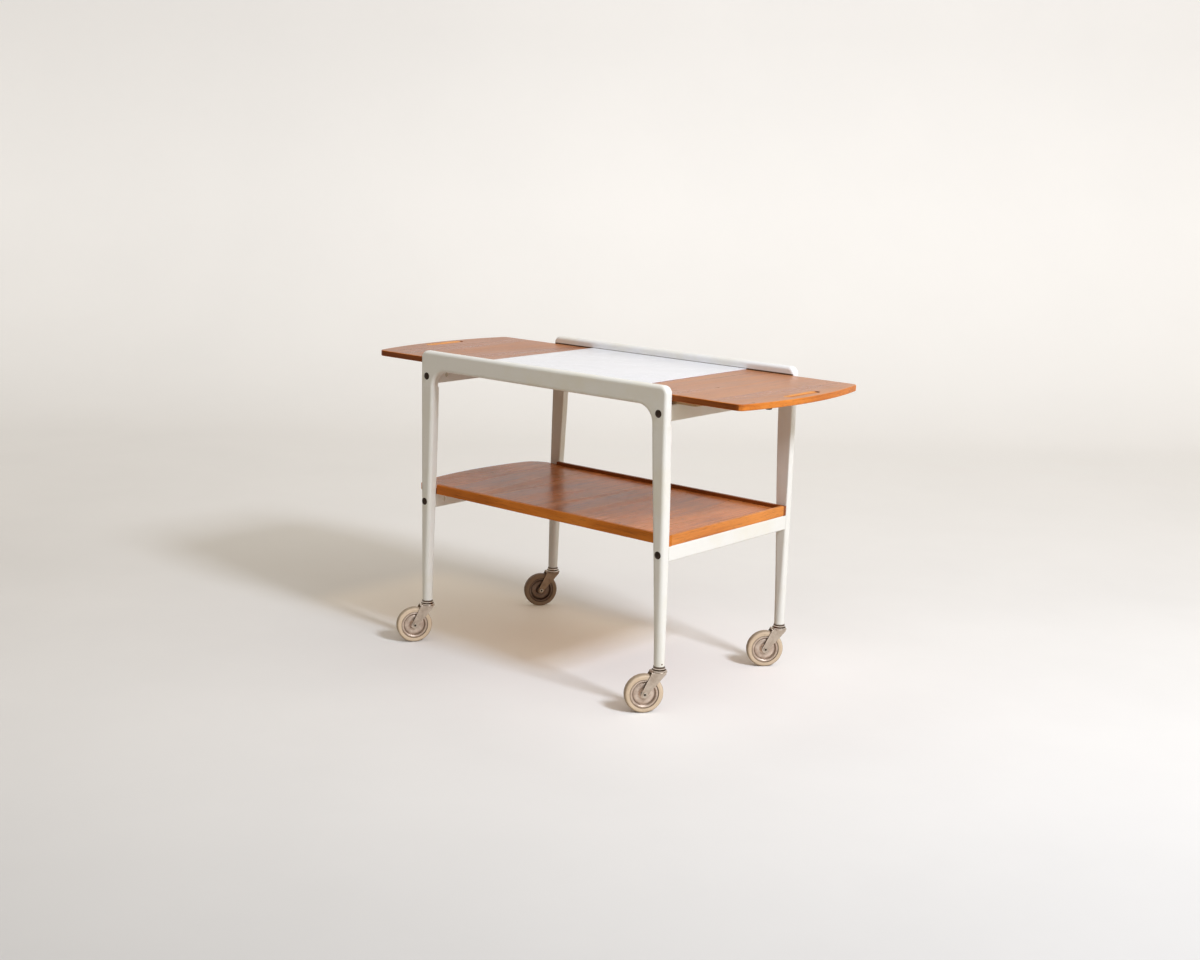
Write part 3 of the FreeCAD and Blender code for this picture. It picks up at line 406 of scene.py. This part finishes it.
def axle_metal(name, centre, axis):
    """Riveted axle end: a bright rim round a dark punched middle."""
    material, tree = new_material(name)
    coords = object_coords(tree)
    pits = noise(tree, coords, AXLE_PIT_SCALE, detail=3.0, roughness=0.6)
    edge = plus(tree, radius_from(tree, centre, axis), times(tree, pits, AXLE_PUNCH_RAGGEDNESS))
    surface(tree, {
        "Base Color": mix(tree, band(tree, edge, *AXLE_PUNCH_RADIUS), AXLE_PUNCH, AXLE_RIM),
        "Metallic": 0.9,
        "Roughness": band(tree, pits, 0.3, 0.7, 0.32, 0.48),
        "Normal": bump(tree, pits, 0.15, 0.00005),
    })
    return material


HUB_TARNISH_SCALE = 60.0
HUB_NICKEL = (0.76, 0.64, 0.54)
HUB_TARNISH = (0.50, 0.38, 0.30)
# Painted shade for a wheel in the shelf's shadow.
HUB_SHADE_COLOUR = (0.075, 0.028, 0.009)
HUB_GROOVE_SHADE = (0.07, 0.04, 0.025)
HUB_GROOVE_COVER = 0.45
HUB_GROOVE_INNER = (0.0216, 0.0228)          # metres from the axle, where the groove's painted shade starts and is whole
HUB_GROOVE_OUTER = (0.0248, 0.0240)
HUB_RING_SCALE = 2600.0


def hub_metal(name, centre, axis, painted_shade):
    """Spun nickel hub: turning marks round the axle, painted shade in the groove inside the rim, and
    tarnish.
    """
    material, tree = new_material(name)
    coords = object_coords(tree)
    radius = radius_from(tree, centre, axis)
    inputs = {"W": times(tree, radius, HUB_RING_SCALE), "Scale": 1.0, "Detail": 2.0}
    rings = add(tree, "ShaderNodeTexNoise", inputs, noise_dimensions="1D").outputs[0]
    tarnish = noise(tree, coords, HUB_TARNISH_SCALE, detail=4.0, roughness=0.6)
    tone = mix(tree, band(tree, tarnish, 0.4, 0.75), HUB_NICKEL, HUB_TARNISH)
    # Painted shade in the groove.
    groove = times(tree, band(tree, radius, *HUB_GROOVE_INNER), band(tree, radius, *HUB_GROOVE_OUTER))
    tone = mix(tree, times(tree, groove, HUB_GROOVE_COVER), tone, HUB_GROOVE_SHADE)
    # Painted shade over the whole hub, for a wheel in the shelf's shadow.
    tone = mix(tree, painted_shade, tone, HUB_SHADE_COLOUR)
    surface(tree, {
        "Base Color": tone, "Metallic": 0.92,
        "Roughness": band(tree, tarnish, 0.3, 0.75, 0.38, 0.54),
        "Normal": bump(tree, rings, 0.15, 0.00005),
    })
    return material


# ---- finishes ---------------------------------------------------------------------------------------
# Linear colours of the wood: light, middle and dark.
TEAK = ((0.58, 0.240, 0.085), (0.48, 0.175, 0.056), (0.33, 0.100, 0.032))
DEEP_TEAK = ((0.52, 0.200, 0.070), (0.43, 0.148, 0.046), (0.29, 0.084, 0.027))
SHELF_TEAK = ((0.82, 0.300, 0.092), (0.66, 0.215, 0.060), (0.40, 0.110, 0.032))
EDGE_TEAK = ((0.76, 0.265, 0.045), (0.66, 0.200, 0.026), (0.42, 0.105, 0.014))
END_TEAK = ((0.78, 0.295, 0.066), (0.70, 0.240, 0.045), (0.46, 0.130, 0.024))
# Painted shade: a much darker copy of the edge teak, for the boards' long sides and the far lip, where the
# light does not reach.
SIDE_SHADE_TEAK = ((0.33, 0.092, 0.016), (0.27, 0.068, 0.010), (0.17, 0.038, 0.006))
# Partly painted highlight: pale gold for the finger grip's walls.
GRIP_HIGHLIGHT_TEAK = ((0.80, 0.44, 0.180), (0.68, 0.35, 0.130), (0.50, 0.23, 0.080))
BEECH = ((0.66, 0.46, 0.26), (0.58, 0.38, 0.20), (0.44, 0.27, 0.13))
DARK_PEG = ((0.085, 0.050, 0.030), (0.060, 0.034, 0.020), (0.035, 0.020, 0.012))
OFF_WHITE = (0.86, 0.855, 0.825)
# The rails' white is a little paler and less yellow than the legs': a painted reflection of the sky on the
# rails' tops.
RAIL_WHITE = (0.875, 0.87, 0.845)
# Painted light: the far rail gets a paler, cooler copy of the white, for the light that its inner face
# catches.
FAR_RAIL_LIT_WHITE = (0.93, 0.935, 0.965)
OILED = (0.34, 0.46)          # ranges of roughness
DULL = (0.40, 0.52)

PLATE_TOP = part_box("top_plate")[1][2]
FAR_RAIL_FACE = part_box("far_rail")[0][1]
FOOT_FLAKE = (0.3457, -0.1921, 0.1014)       # on the near right leg, just above its foot

MATERIALS = {
    "paint_long_sheen": paint("paint_long_sheen", RAIL_WHITE, X),
    "paint_far_painted_light": paint("paint_far_painted_light", FAR_RAIL_LIT_WHITE, X, joint=(FAR_RAIL_FACE, PLATE_TOP)),
    "paint_cross": paint("paint_cross", OFF_WHITE, Y),
    "paint_leg": paint("paint_leg", OFF_WHITE, Z, wear=1.0),
    "paint_flaked": paint("paint_flaked", OFF_WHITE, Z, wear=1.0, flake=FOOT_FLAKE),
    "plate": laminate("plate_laminate"),
    "right_leaf": wood("right_leaf_teak", TEAK, Y, (0.3, 0.0, 0.7), gloss=0.42),
    "left_leaf": wood("left_leaf_teak", DEEP_TEAK, Y, (5.1, 2.3, 1.9), gloss=0.30),
    "shelf": wood(
        "shelf_teak", SHELF_TEAK, Y, (9.7, 1.1, 3.3), (0.20, 0.32), gloss=0.17, stain=0.28, spots=0.5,
    ),
    "lip_long": wood("lip_long_teak", EDGE_TEAK, X, (2.2, 7.1, 0.4), DULL, gloss=0.15),
    # The far lip takes the darker teak as painted shade.
    "lip_far_shade": wood("lip_far_shade_teak", SIDE_SHADE_TEAK, X, (3.2, 5.1, 4.4), OILED, gloss=0.25),
    "lip_end": wood("lip_end_teak", END_TEAK, Y, (4.2, 6.1, 2.4), OILED, gloss=0.35),
    "leaf_edge": wood("leaf_edge_teak", EDGE_TEAK, Y, (6.2, 3.1, 7.7), OILED, gloss=0.35),
    # Painted shade on the boards' long sides.
    "side_shade": wood("side_shade_teak", SIDE_SHADE_TEAK, X, (1.7, 8.1, 2.6), OILED, gloss=0.2),
    "grip": wood("grip_highlight_teak", GRIP_HIGHLIGHT_TEAK, Y, (7.3, 1.9, 5.6), DULL, gloss=0.2),
    "nut": metal("nut_brass", (0.62, 0.54, 0.42), 0.40, (0.40, 0.30, 0.18), 0.5, metallic=0.7),
    "beech": wood("beech", BEECH, X, (1.2, 3.1, 8.4), (0.45, 0.6)),
    "bolt": metal("bolt_bronze", (0.050, 0.032, 0.022), 0.42, (0.02, 0.013, 0.010), 0.8, metallic=0.85),
    "zinc": metal("zinc", (0.56, 0.55, 0.53), 0.34, (0.28, 0.23, 0.18), 0.6),
    "fork": metal("fork_nickel", (0.63, 0.54, 0.45), 0.30, (0.34, 0.24, 0.16), 0.65),
    # Painted shade: a darker copy of the fork's nickel, for the fork in the shelf's shadow.
    "fork_shaded": metal("fork_shaded", (0.33, 0.23, 0.155), 0.36, (0.14, 0.085, 0.05), 0.6),
    # Painted shadow on the fork plates' edges.
    "fork_edge_shadow": metal("fork_edge_shadow", (0.05, 0.035, 0.025), 0.45, (0.025, 0.015, 0.010), 0.7, metallic=0.5),
    "cup": cup_metal("cup_nickel_painted_light"),
    "socket": metal("socket_steel", (0.20, 0.15, 0.115), 0.35, (0.10, 0.07, 0.05), 0.6, metallic=0.9),
    "peg": wood("peg_dark", DARK_PEG, Z, (0.5, 4.4, 2.2)),
}

NODE_FINISH = {
    "top_plate": "plate",
    "centre_member": "paint_cross",
    "near_rail": "paint_long_sheen",
    "far_rail": "paint_far_painted_light",
    "upper_frame_bolts": "bolt",
    "lower_frame_bolts": "bolt",
    "upper_barrel_nuts": "nut",
    "lower_barrel_nuts": "nut",
    "centre_member_dowels": "beech",
    "shelf_board": "shelf",
    "shelf_near_lip": "lip_long",
    "shelf_far_lip": "lip_far_shade",
    "shelf_right_lip": "lip_end",
    "shelf_screws": "zinc",
    "caster_stems": "zinc",
    "caster_sockets": "socket",
    "swivel_cups": "cup",
}
for corner in CORNERS:
    NODE_FINISH[corner + "_leg"] = "paint_flaked" if corner == "near_right" else "paint_leg"
for side in ("right", "left"):
    NODE_FINISH[side + "_upper_cross_rail"] = "paint_cross"
    NODE_FINISH[side + "_lower_cross_rail"] = "paint_cross"
    NODE_FINISH[side + "_leaf_board"] = side + "_leaf"
    NODE_FINISH[side + "_leaf_near_bearer"] = "beech"
    NODE_FINISH[side + "_leaf_far_bearer"] = "beech"
    NODE_FINISH[side + "_leaf_stop_blocks"] = "beech"
    NODE_FINISH[side + "_leaf_stop_pegs"] = "peg"
    NODE_FINISH[side + "_leaf_screws"] = "zinc"

EDGED_BOARDS = ("right_leaf_board", "left_leaf_board", "shelf_board")
EDGE_FACE_LIMIT = 0.9         # a board's faces that look along Z less than this are its edges
SIDE_FACE_LIMIT = 0.9         # edges that look along Y more than this are its sides, which take painted shade
GRIP_HALF_LENGTH = 0.058      # metres, with a little to spare round the finger grip
GRIP_END_GAP = 0.008          # from the middle of the leaf's curved end to the grip
GRIP_START = 0.48             # from the trolley's middle to the grip
GRIP_FACE_LIMIT = 0.6         # the grip's walls look along Z less than this
WHEEL_SHADE = {"far_left": 0.78}     # how much painted shade darkens a wheel in the shelf's shadow; the others have none
FORK_EDGE_LIMIT = 0.5         # the fork's faces that look along the axle less than this are its edges, painted dark as shadow
FORK_CROWN_DEPTH = 0.006      # metres at its top that have no such edge


def dress(node, *materials):
    """Gives a CAD node its materials. All its faces take the first one."""
    data = nodes[node].data
    data.materials.clear()
    for material in materials:
        data.materials.append(material)
    for polygon in data.polygons:
        polygon.material_index = 0


def dress_board(node, face, end, side):
    """Board whose ends have a finish of their own, and whose long sides take painted shade: a much darker
    copy of the edge teak.
    """
    dress(node, face, end, side)
    for polygon in nodes[node].data.polygons:
        if abs(polygon.normal.z) < EDGE_FACE_LIMIT:
            polygon.material_index = 2 if abs(polygon.normal.y) > SIDE_FACE_LIMIT else 1


def dress_grip(node):
    """Gives the walls of a leaf's finger grip a paler teak: the cut wood's lighter colour, brightened
    further as a painted highlight of the lit wall.
    """
    data = nodes[node].data
    data.materials.append(MATERIALS["grip"])
    low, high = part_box(node)
    middle = (low[1] + high[1]) / 2
    end = max(abs(low[0]), abs(high[0])) - GRIP_END_GAP
    for polygon in data.polygons:
        place, normal = polygon.center, polygon.normal
        inside = abs(place.y - middle) < GRIP_HALF_LENGTH and GRIP_START < abs(place.x) < end
        if inside and abs(normal.z) < GRIP_FACE_LIMIT and abs(normal.y) < SIDE_FACE_LIMIT:
            polygon.material_index = 3


def dress_fork(node, axis, plate):
    """Metal fork whose plates' edges are painted dark: a painted shadow, like the one the plates cast on
    the wheel.
    """
    dress(node, plate, MATERIALS["fork_edge_shadow"])
    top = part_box(node)[1][2] - FORK_CROWN_DEPTH
    for polygon in nodes[node].data.polygons:
        if abs(polygon.normal.dot(axis)) < FORK_EDGE_LIMIT and polygon.center.z < top:
            polygon.material_index = 1


def dress_caster(corner, spin):
    """Fork and wheel of one corner. The wheel's finishes are centred on its own axle, spin."""
    centre = spin["pos_m"]
    axis = Vector(spin["axis"]).normalized()
    # A wheel in the shelf's shadow gets painted shade on its fork, tyre and hub.
    painted_shade = WHEEL_SHADE.get(corner, 0.0)
    dress_fork(corner + "_caster_fork", axis, MATERIALS["fork_shaded" if painted_shade else "fork"])
    dress(corner + "_caster_axle", axle_metal(corner + "_axle_metal", centre, axis))
    dress(corner + "_caster_tyre", tyre_rubber(corner + "_tyre_rubber", centre, axis, painted_shade))
    dress(corner + "_caster_hub", hub_metal(corner + "_hub_metal", centre, axis, painted_shade))


def dress_all():
    """Finishes every CAD node."""
    for node, finish in NODE_FINISH.items():
        if node in EDGED_BOARDS:
            dress_board(node, MATERIALS[finish], MATERIALS["leaf_edge"], MATERIALS["side_shade"])
        else:
            dress(node, MATERIALS[finish])
        if "leaf_board" in node:
            dress_grip(node)
    spins = {joint["child"]: joint for joint in frame["joints"] if "spin" in joint["name"]}
    for corner in CORNERS:
        dress_caster(corner, spins[corner + "_wheel"])
    bare = sorted(name for name, made in nodes.items() if not made.data.materials)
    if bare:
        raise RuntimeError("no finish for " + ", ".join(bare))


# ---- camera -----------------------------------------------------------------------------------------
CAMERA_AZIMUTH = 40.385       # degrees round from looking along +Y
CAMERA_ELEVATION = 11.728
CAMERA_ROLL = 1.576
CAMERA_DISTANCE = 3.6453
CAMERA_TARGET = (-0.012515, 0.022262, 0.392525)
CAMERA_LENS = 49.797
CAMERA_REACH = 60.0
SENSOR_WIDTH = 36.0


def camera_axes():
    """Right, up and backward directions of the camera, without its roll."""
    azimuth = math.radians(CAMERA_AZIMUTH)
    elevation = math.radians(CAMERA_ELEVATION)
    level = math.cos(elevation)
    back = Vector((math.sin(azimuth) * level, -math.cos(azimuth) * level, math.sin(elevation)))
    right = Vector((math.cos(azimuth), math.sin(azimuth), 0.0))
    return right, back.cross(right), back


def make_camera():
    """Camera at the photograph's place."""
    right, up, back = camera_axes()
    roll = math.radians(CAMERA_ROLL)
    rolled_right = right * math.cos(roll) + up * math.sin(roll)
    rolled_up = up * math.cos(roll) - right * math.sin(roll)
    data = bpy.data.cameras.new("camera")
    data.lens = CAMERA_LENS
    data.sensor_width = SENSOR_WIDTH
    data.sensor_fit = "HORIZONTAL"
    data.clip_end = CAMERA_REACH
    camera = bpy.data.objects.new("camera", data)
    turn = Matrix((rolled_right, rolled_up, back)).transposed().to_4x4()
    camera.matrix_world = Matrix.Translation(Vector(CAMERA_TARGET) + back * CAMERA_DISTANCE) @ turn
    bpy.context.scene.collection.objects.link(camera)
    bpy.context.scene.camera = camera


# ---- floor and wall ---------------------------------------------------------------------------------
# Depths are metres behind the trolley's middle, as the camera looks. Sides are metres to its right.
SWEEP_FRONT = -9.0
SWEEP_HALF_WIDTH = 12.0
CURVE_START = 2.6
CURVE_RADIUS = 1.6
CURVE_STEPS = 24
WALL_TOP = 7.0
FLOOR_COLOUR = (0.81, 0.797, 0.79)
FLOOR_BOUNCE = (0.46, 0.405, 0.335)  # the floor's colour as it lights the trolley
# Depths and the floor's shade at each: a painted pool of the key's light, brightest just behind the
# trolley's middle.
FLOOR_LIGHT_POOL = (
    (-1.4, 0.80), (-0.9, 0.94), (-0.4, 1.05), (0.3, 1.12), (1.2, 1.12), (3.0, 1.02), (4.2, 1.03),
)
FLOOR_LEFT = (-1.6, 0.1)             # sides between which painted shade darkens the floor towards the left
FLOOR_LEFT_PAINTED_SHADE = 0.90              # its shade there, of that in the middle
SCUFF_SCALE = 2.2
SCUFF_SHADE = 0.975
LIFT_PAINTED_LIGHT = 1.10                    # painted light: the floor's paler shade round the trolley's right end, where the trolley blocks the fill
LIFT_X = (0.22, 0.50)                # middle and half length of that place
LIFT_Y = (0.02, 0.62)
LIFT_SOFTNESS = 0.36
BOUNCE_COLOUR = (0.135, 0.098, 0.055)        # warm light off the shelf's underside, in the shelf's shadow
BOUNCE_X = (-0.37, 0.47)             # middle and half length of that shadow, with its soft rim
BOUNCE_Y = (0.045, 0.29)
BOUNCE_SOFTNESS = 0.16
BOUNCE_LEFT = (-0.6, -0.1)           # places along X between which it gets weaker towards the left
BOUNCE_LEFT_STRENGTH = 0.7
WALL_COLOUR = (0.99, 0.99, 0.985)
WALL_GLOW = 0.32                     # added light of the wall, which only the camera and gloss see
GLOW_DEPTH = (0.6, 4.2)              # depths where it starts and is whole
GLOW_PER_HEIGHT = 0.35               # metres of depth that a metre of height counts for
HAZE_COLOUR = (0.88, 0.865, 0.84)    # the room beyond the floor, which only the camera and gloss see
FADE_IN_FRONT = (-1.8, -4.6)         # depths over which the floor passes into it
FADE_ASIDE = (2.8, 6.0)              # and the distances to either side


def make_sweep():
    """Floor that curves up into a wall behind the trolley, as seen from the camera."""
    profile = [(SWEEP_FRONT, 0.0)]
    for step in range(CURVE_STEPS + 1):
        turn = math.pi / 2 * step / CURVE_STEPS
        rise = CURVE_RADIUS * (1 - math.cos(turn))
        profile.append((CURVE_START + CURVE_RADIUS * math.sin(turn), rise))
    profile.append((CURVE_START + CURVE_RADIUS, WALL_TOP))
    right, _, back = camera_axes()
    away = Vector((-back.x, -back.y, 0.0)).normalized()
    points = []
    for depth, height in profile:
        for side in (-SWEEP_HALF_WIDTH, SWEEP_HALF_WIDTH):
            points.append(away * depth + right * side + Vector((0.0, 0.0, height)))
    faces = [(2 * i, 2 * i + 1, 2 * i + 3, 2 * i + 2) for i in range(len(profile) - 1)]
    mesh = bpy.data.meshes.new("sweep")
    mesh.from_pydata(points, [], faces)
    for polygon in mesh.polygons:
        polygon.use_smooth = True
    sweep = bpy.data.objects.new("sweep", mesh)
    bpy.context.scene.collection.objects.link(sweep)
    mesh.materials.append(sweep_material())


def soft_box(tree, coords, x_place, y_place, softness):
    """Mask of a soft-edged box on the floor. The places are its middle and half length along X and Y."""
    inside = []
    for axis, (middle, half) in ((X, x_place), (Y, y_place)):
        gap = maths(tree, "ABSOLUTE", maths(tree, "SUBTRACT", component(tree, coords, axis), middle))
        inside.append(band(tree, gap, half, half - softness, interpolation_type="SMOOTHSTEP"))
    return times(tree, *inside)


def emission(tree, colour, strength=1.0):
    inputs = {"Color": (*colour, 1.0), "Strength": strength}
    return add(tree, "ShaderNodeEmission", inputs).outputs[0]


def floor_colour(tree, coords, depth, side):
    """Pale floor with painted light: a pool of light from front to back, painted shade towards the left and
    a paler patch round the trolley's right end, with faint scuffs.
    """
    low, high = FLOOR_LIGHT_POOL[0][0], FLOOR_LIGHT_POOL[-1][0]
    stops = []
    for place, shade in FLOOR_LIGHT_POOL:
        stops.append(((place - low) / (high - low), [shade * c for c in FLOOR_COLOUR]))
    colour = ramp(tree, band(tree, depth, low, high), stops)
    scuffs = noise(tree, coords, SCUFF_SCALE, detail=4.0, roughness=0.6)
    colour = shaded(tree, colour, band(tree, scuffs, 0.35, 0.7, 1.0, SCUFF_SHADE))
    colour = shaded(tree, colour, band(tree, side, *FLOOR_LEFT, FLOOR_LEFT_PAINTED_SHADE, 1.0))
    painted_lift = soft_box(tree, coords, LIFT_X, LIFT_Y, LIFT_SOFTNESS)
    return shaded(tree, colour, band(tree, painted_lift, 0.0, 1.0, 1.0, LIFT_PAINTED_LIGHT))


def sweep_material():
    """Pale painted floor. The wall behind and the bounce glow for the camera and for gloss alone."""
    material, tree = new_material("sweep_paint")
    coords = object_coords(tree)
    right, _, back = camera_axes()
    depth = dot(tree, coords, (-back.x, -back.y, 0.0))
    side = dot(tree, coords, right)
    rays = add(tree, "ShaderNodeLightPath").outputs
    seen = maths(tree, "MAXIMUM", rays["Is Camera Ray"], rays["Is Glossy Ray"])
    floor = add(tree, "ShaderNodeBsdfPrincipled", {
        "Base Color": mix(tree, seen, FLOOR_BOUNCE, floor_colour(tree, coords, depth, side)),
        "Roughness": 0.6, "Specular IOR Level": 0.2,
    }).outputs[0]

    rise = plus(tree, depth, times(tree, component(tree, coords, Z), GLOW_PER_HEIGHT))
    glow = times(tree, band(tree, rise, *GLOW_DEPTH, 0.0, WALL_GLOW), seen)
    floor = add(tree, "ShaderNodeAddShader", {0: floor, 1: emission(tree, WALL_COLOUR, glow)}).outputs[0]

    bounce = times(tree, soft_box(tree, coords, BOUNCE_X, BOUNCE_Y, BOUNCE_SOFTNESS), seen)
    weaker = band(tree, component(tree, coords, X), *BOUNCE_LEFT, BOUNCE_LEFT_STRENGTH, 1.0)
    bounce = emission(tree, BOUNCE_COLOUR, times(tree, bounce, weaker))
    floor = add(tree, "ShaderNodeAddShader", {0: floor, 1: bounce}).outputs[0]

    in_front = band(tree, depth, *FADE_IN_FRONT, interpolation_type="SMOOTHSTEP")
    aside = band(tree, maths(tree, "ABSOLUTE", side), *FADE_ASIDE, interpolation_type="SMOOTHSTEP")
    fade = times(tree, maths(tree, "MAXIMUM", in_front, aside), seen)
    hazy = add(tree, "ShaderNodeMixShader", {0: fade, 1: floor, 2: emission(tree, HAZE_COLOUR)})
    add(tree, "ShaderNodeOutputMaterial", {"Surface": hazy.outputs[0]})
    return material


# ---- light ------------------------------------------------------------------------------------------
FILL_COLOUR = (1.0, 0.93, 0.81)
FILL_LEAN = (0.58, 0.25, 0.78)       # direction of the strongest fill
FILL_SPREAD = (-0.4, 1.0)            # how far a direction leans that way, from weakest to strongest
FILL_RANGE = (0.02, 1.02)            # the fill's strength there
GLOSS_WORLD = (0.36, 0.31, 0.26)     # what gloss shows of the room in front
KEY_PLACE = (3.85, -0.42, 3.35)
KEY_TARGET = (0.0, 0.0, 0.35)
KEY_SIZE = 0.85
KEY_POWER = 165.0
KEY_COLOUR = (0.90, 0.965, 1.075)


def background(tree, colour, strength=1.0):
    inputs = {"Color": (*colour, 1.0), "Strength": strength}
    return add(tree, "ShaderNodeBackground", inputs).outputs[0]


def make_world():
    """Warm fill, stronger from above and from behind the trolley. The camera and gloss see a plain room."""
    world = bpy.data.worlds.new("studio")
    bpy.context.scene.world = world
    world.use_nodes = True
    tree = world.node_tree
    tree.nodes.clear()
    direction = add(tree, "ShaderNodeTexCoord").outputs["Generated"]
    strength = band(tree, dot(tree, direction, FILL_LEAN), *FILL_SPREAD, *FILL_RANGE)
    seen = background(tree, FILL_COLOUR, strength)
    rays = add(tree, "ShaderNodeLightPath").outputs
    for ray, colour in (("Is Glossy Ray", GLOSS_WORLD), ("Is Camera Ray", HAZE_COLOUR)):
        inputs = {0: rays[ray], 1: seen, 2: background(tree, colour)}
        seen = add(tree, "ShaderNodeMixShader", inputs).outputs[0]
    add(tree, "ShaderNodeOutputWorld", {"Surface": seen})


def make_key():
    """Soft box to the right of the trolley."""
    data = bpy.data.lights.new("key", "AREA")
    data.shape = "SQUARE"
    data.size = KEY_SIZE
    data.energy = KEY_POWER
    data.color = KEY_COLOUR
    key = bpy.data.objects.new("key", data)
    key.location = KEY_PLACE
    key.rotation_euler = (Vector(KEY_TARGET) - Vector(KEY_PLACE)).to_track_quat("-Z", "Y").to_euler()
    bpy.context.scene.collection.objects.link(key)


dress_all()
make_camera()
make_world()
make_key()
make_sweep()
bpy.context.scene.view_settings.view_transform = "Standard"
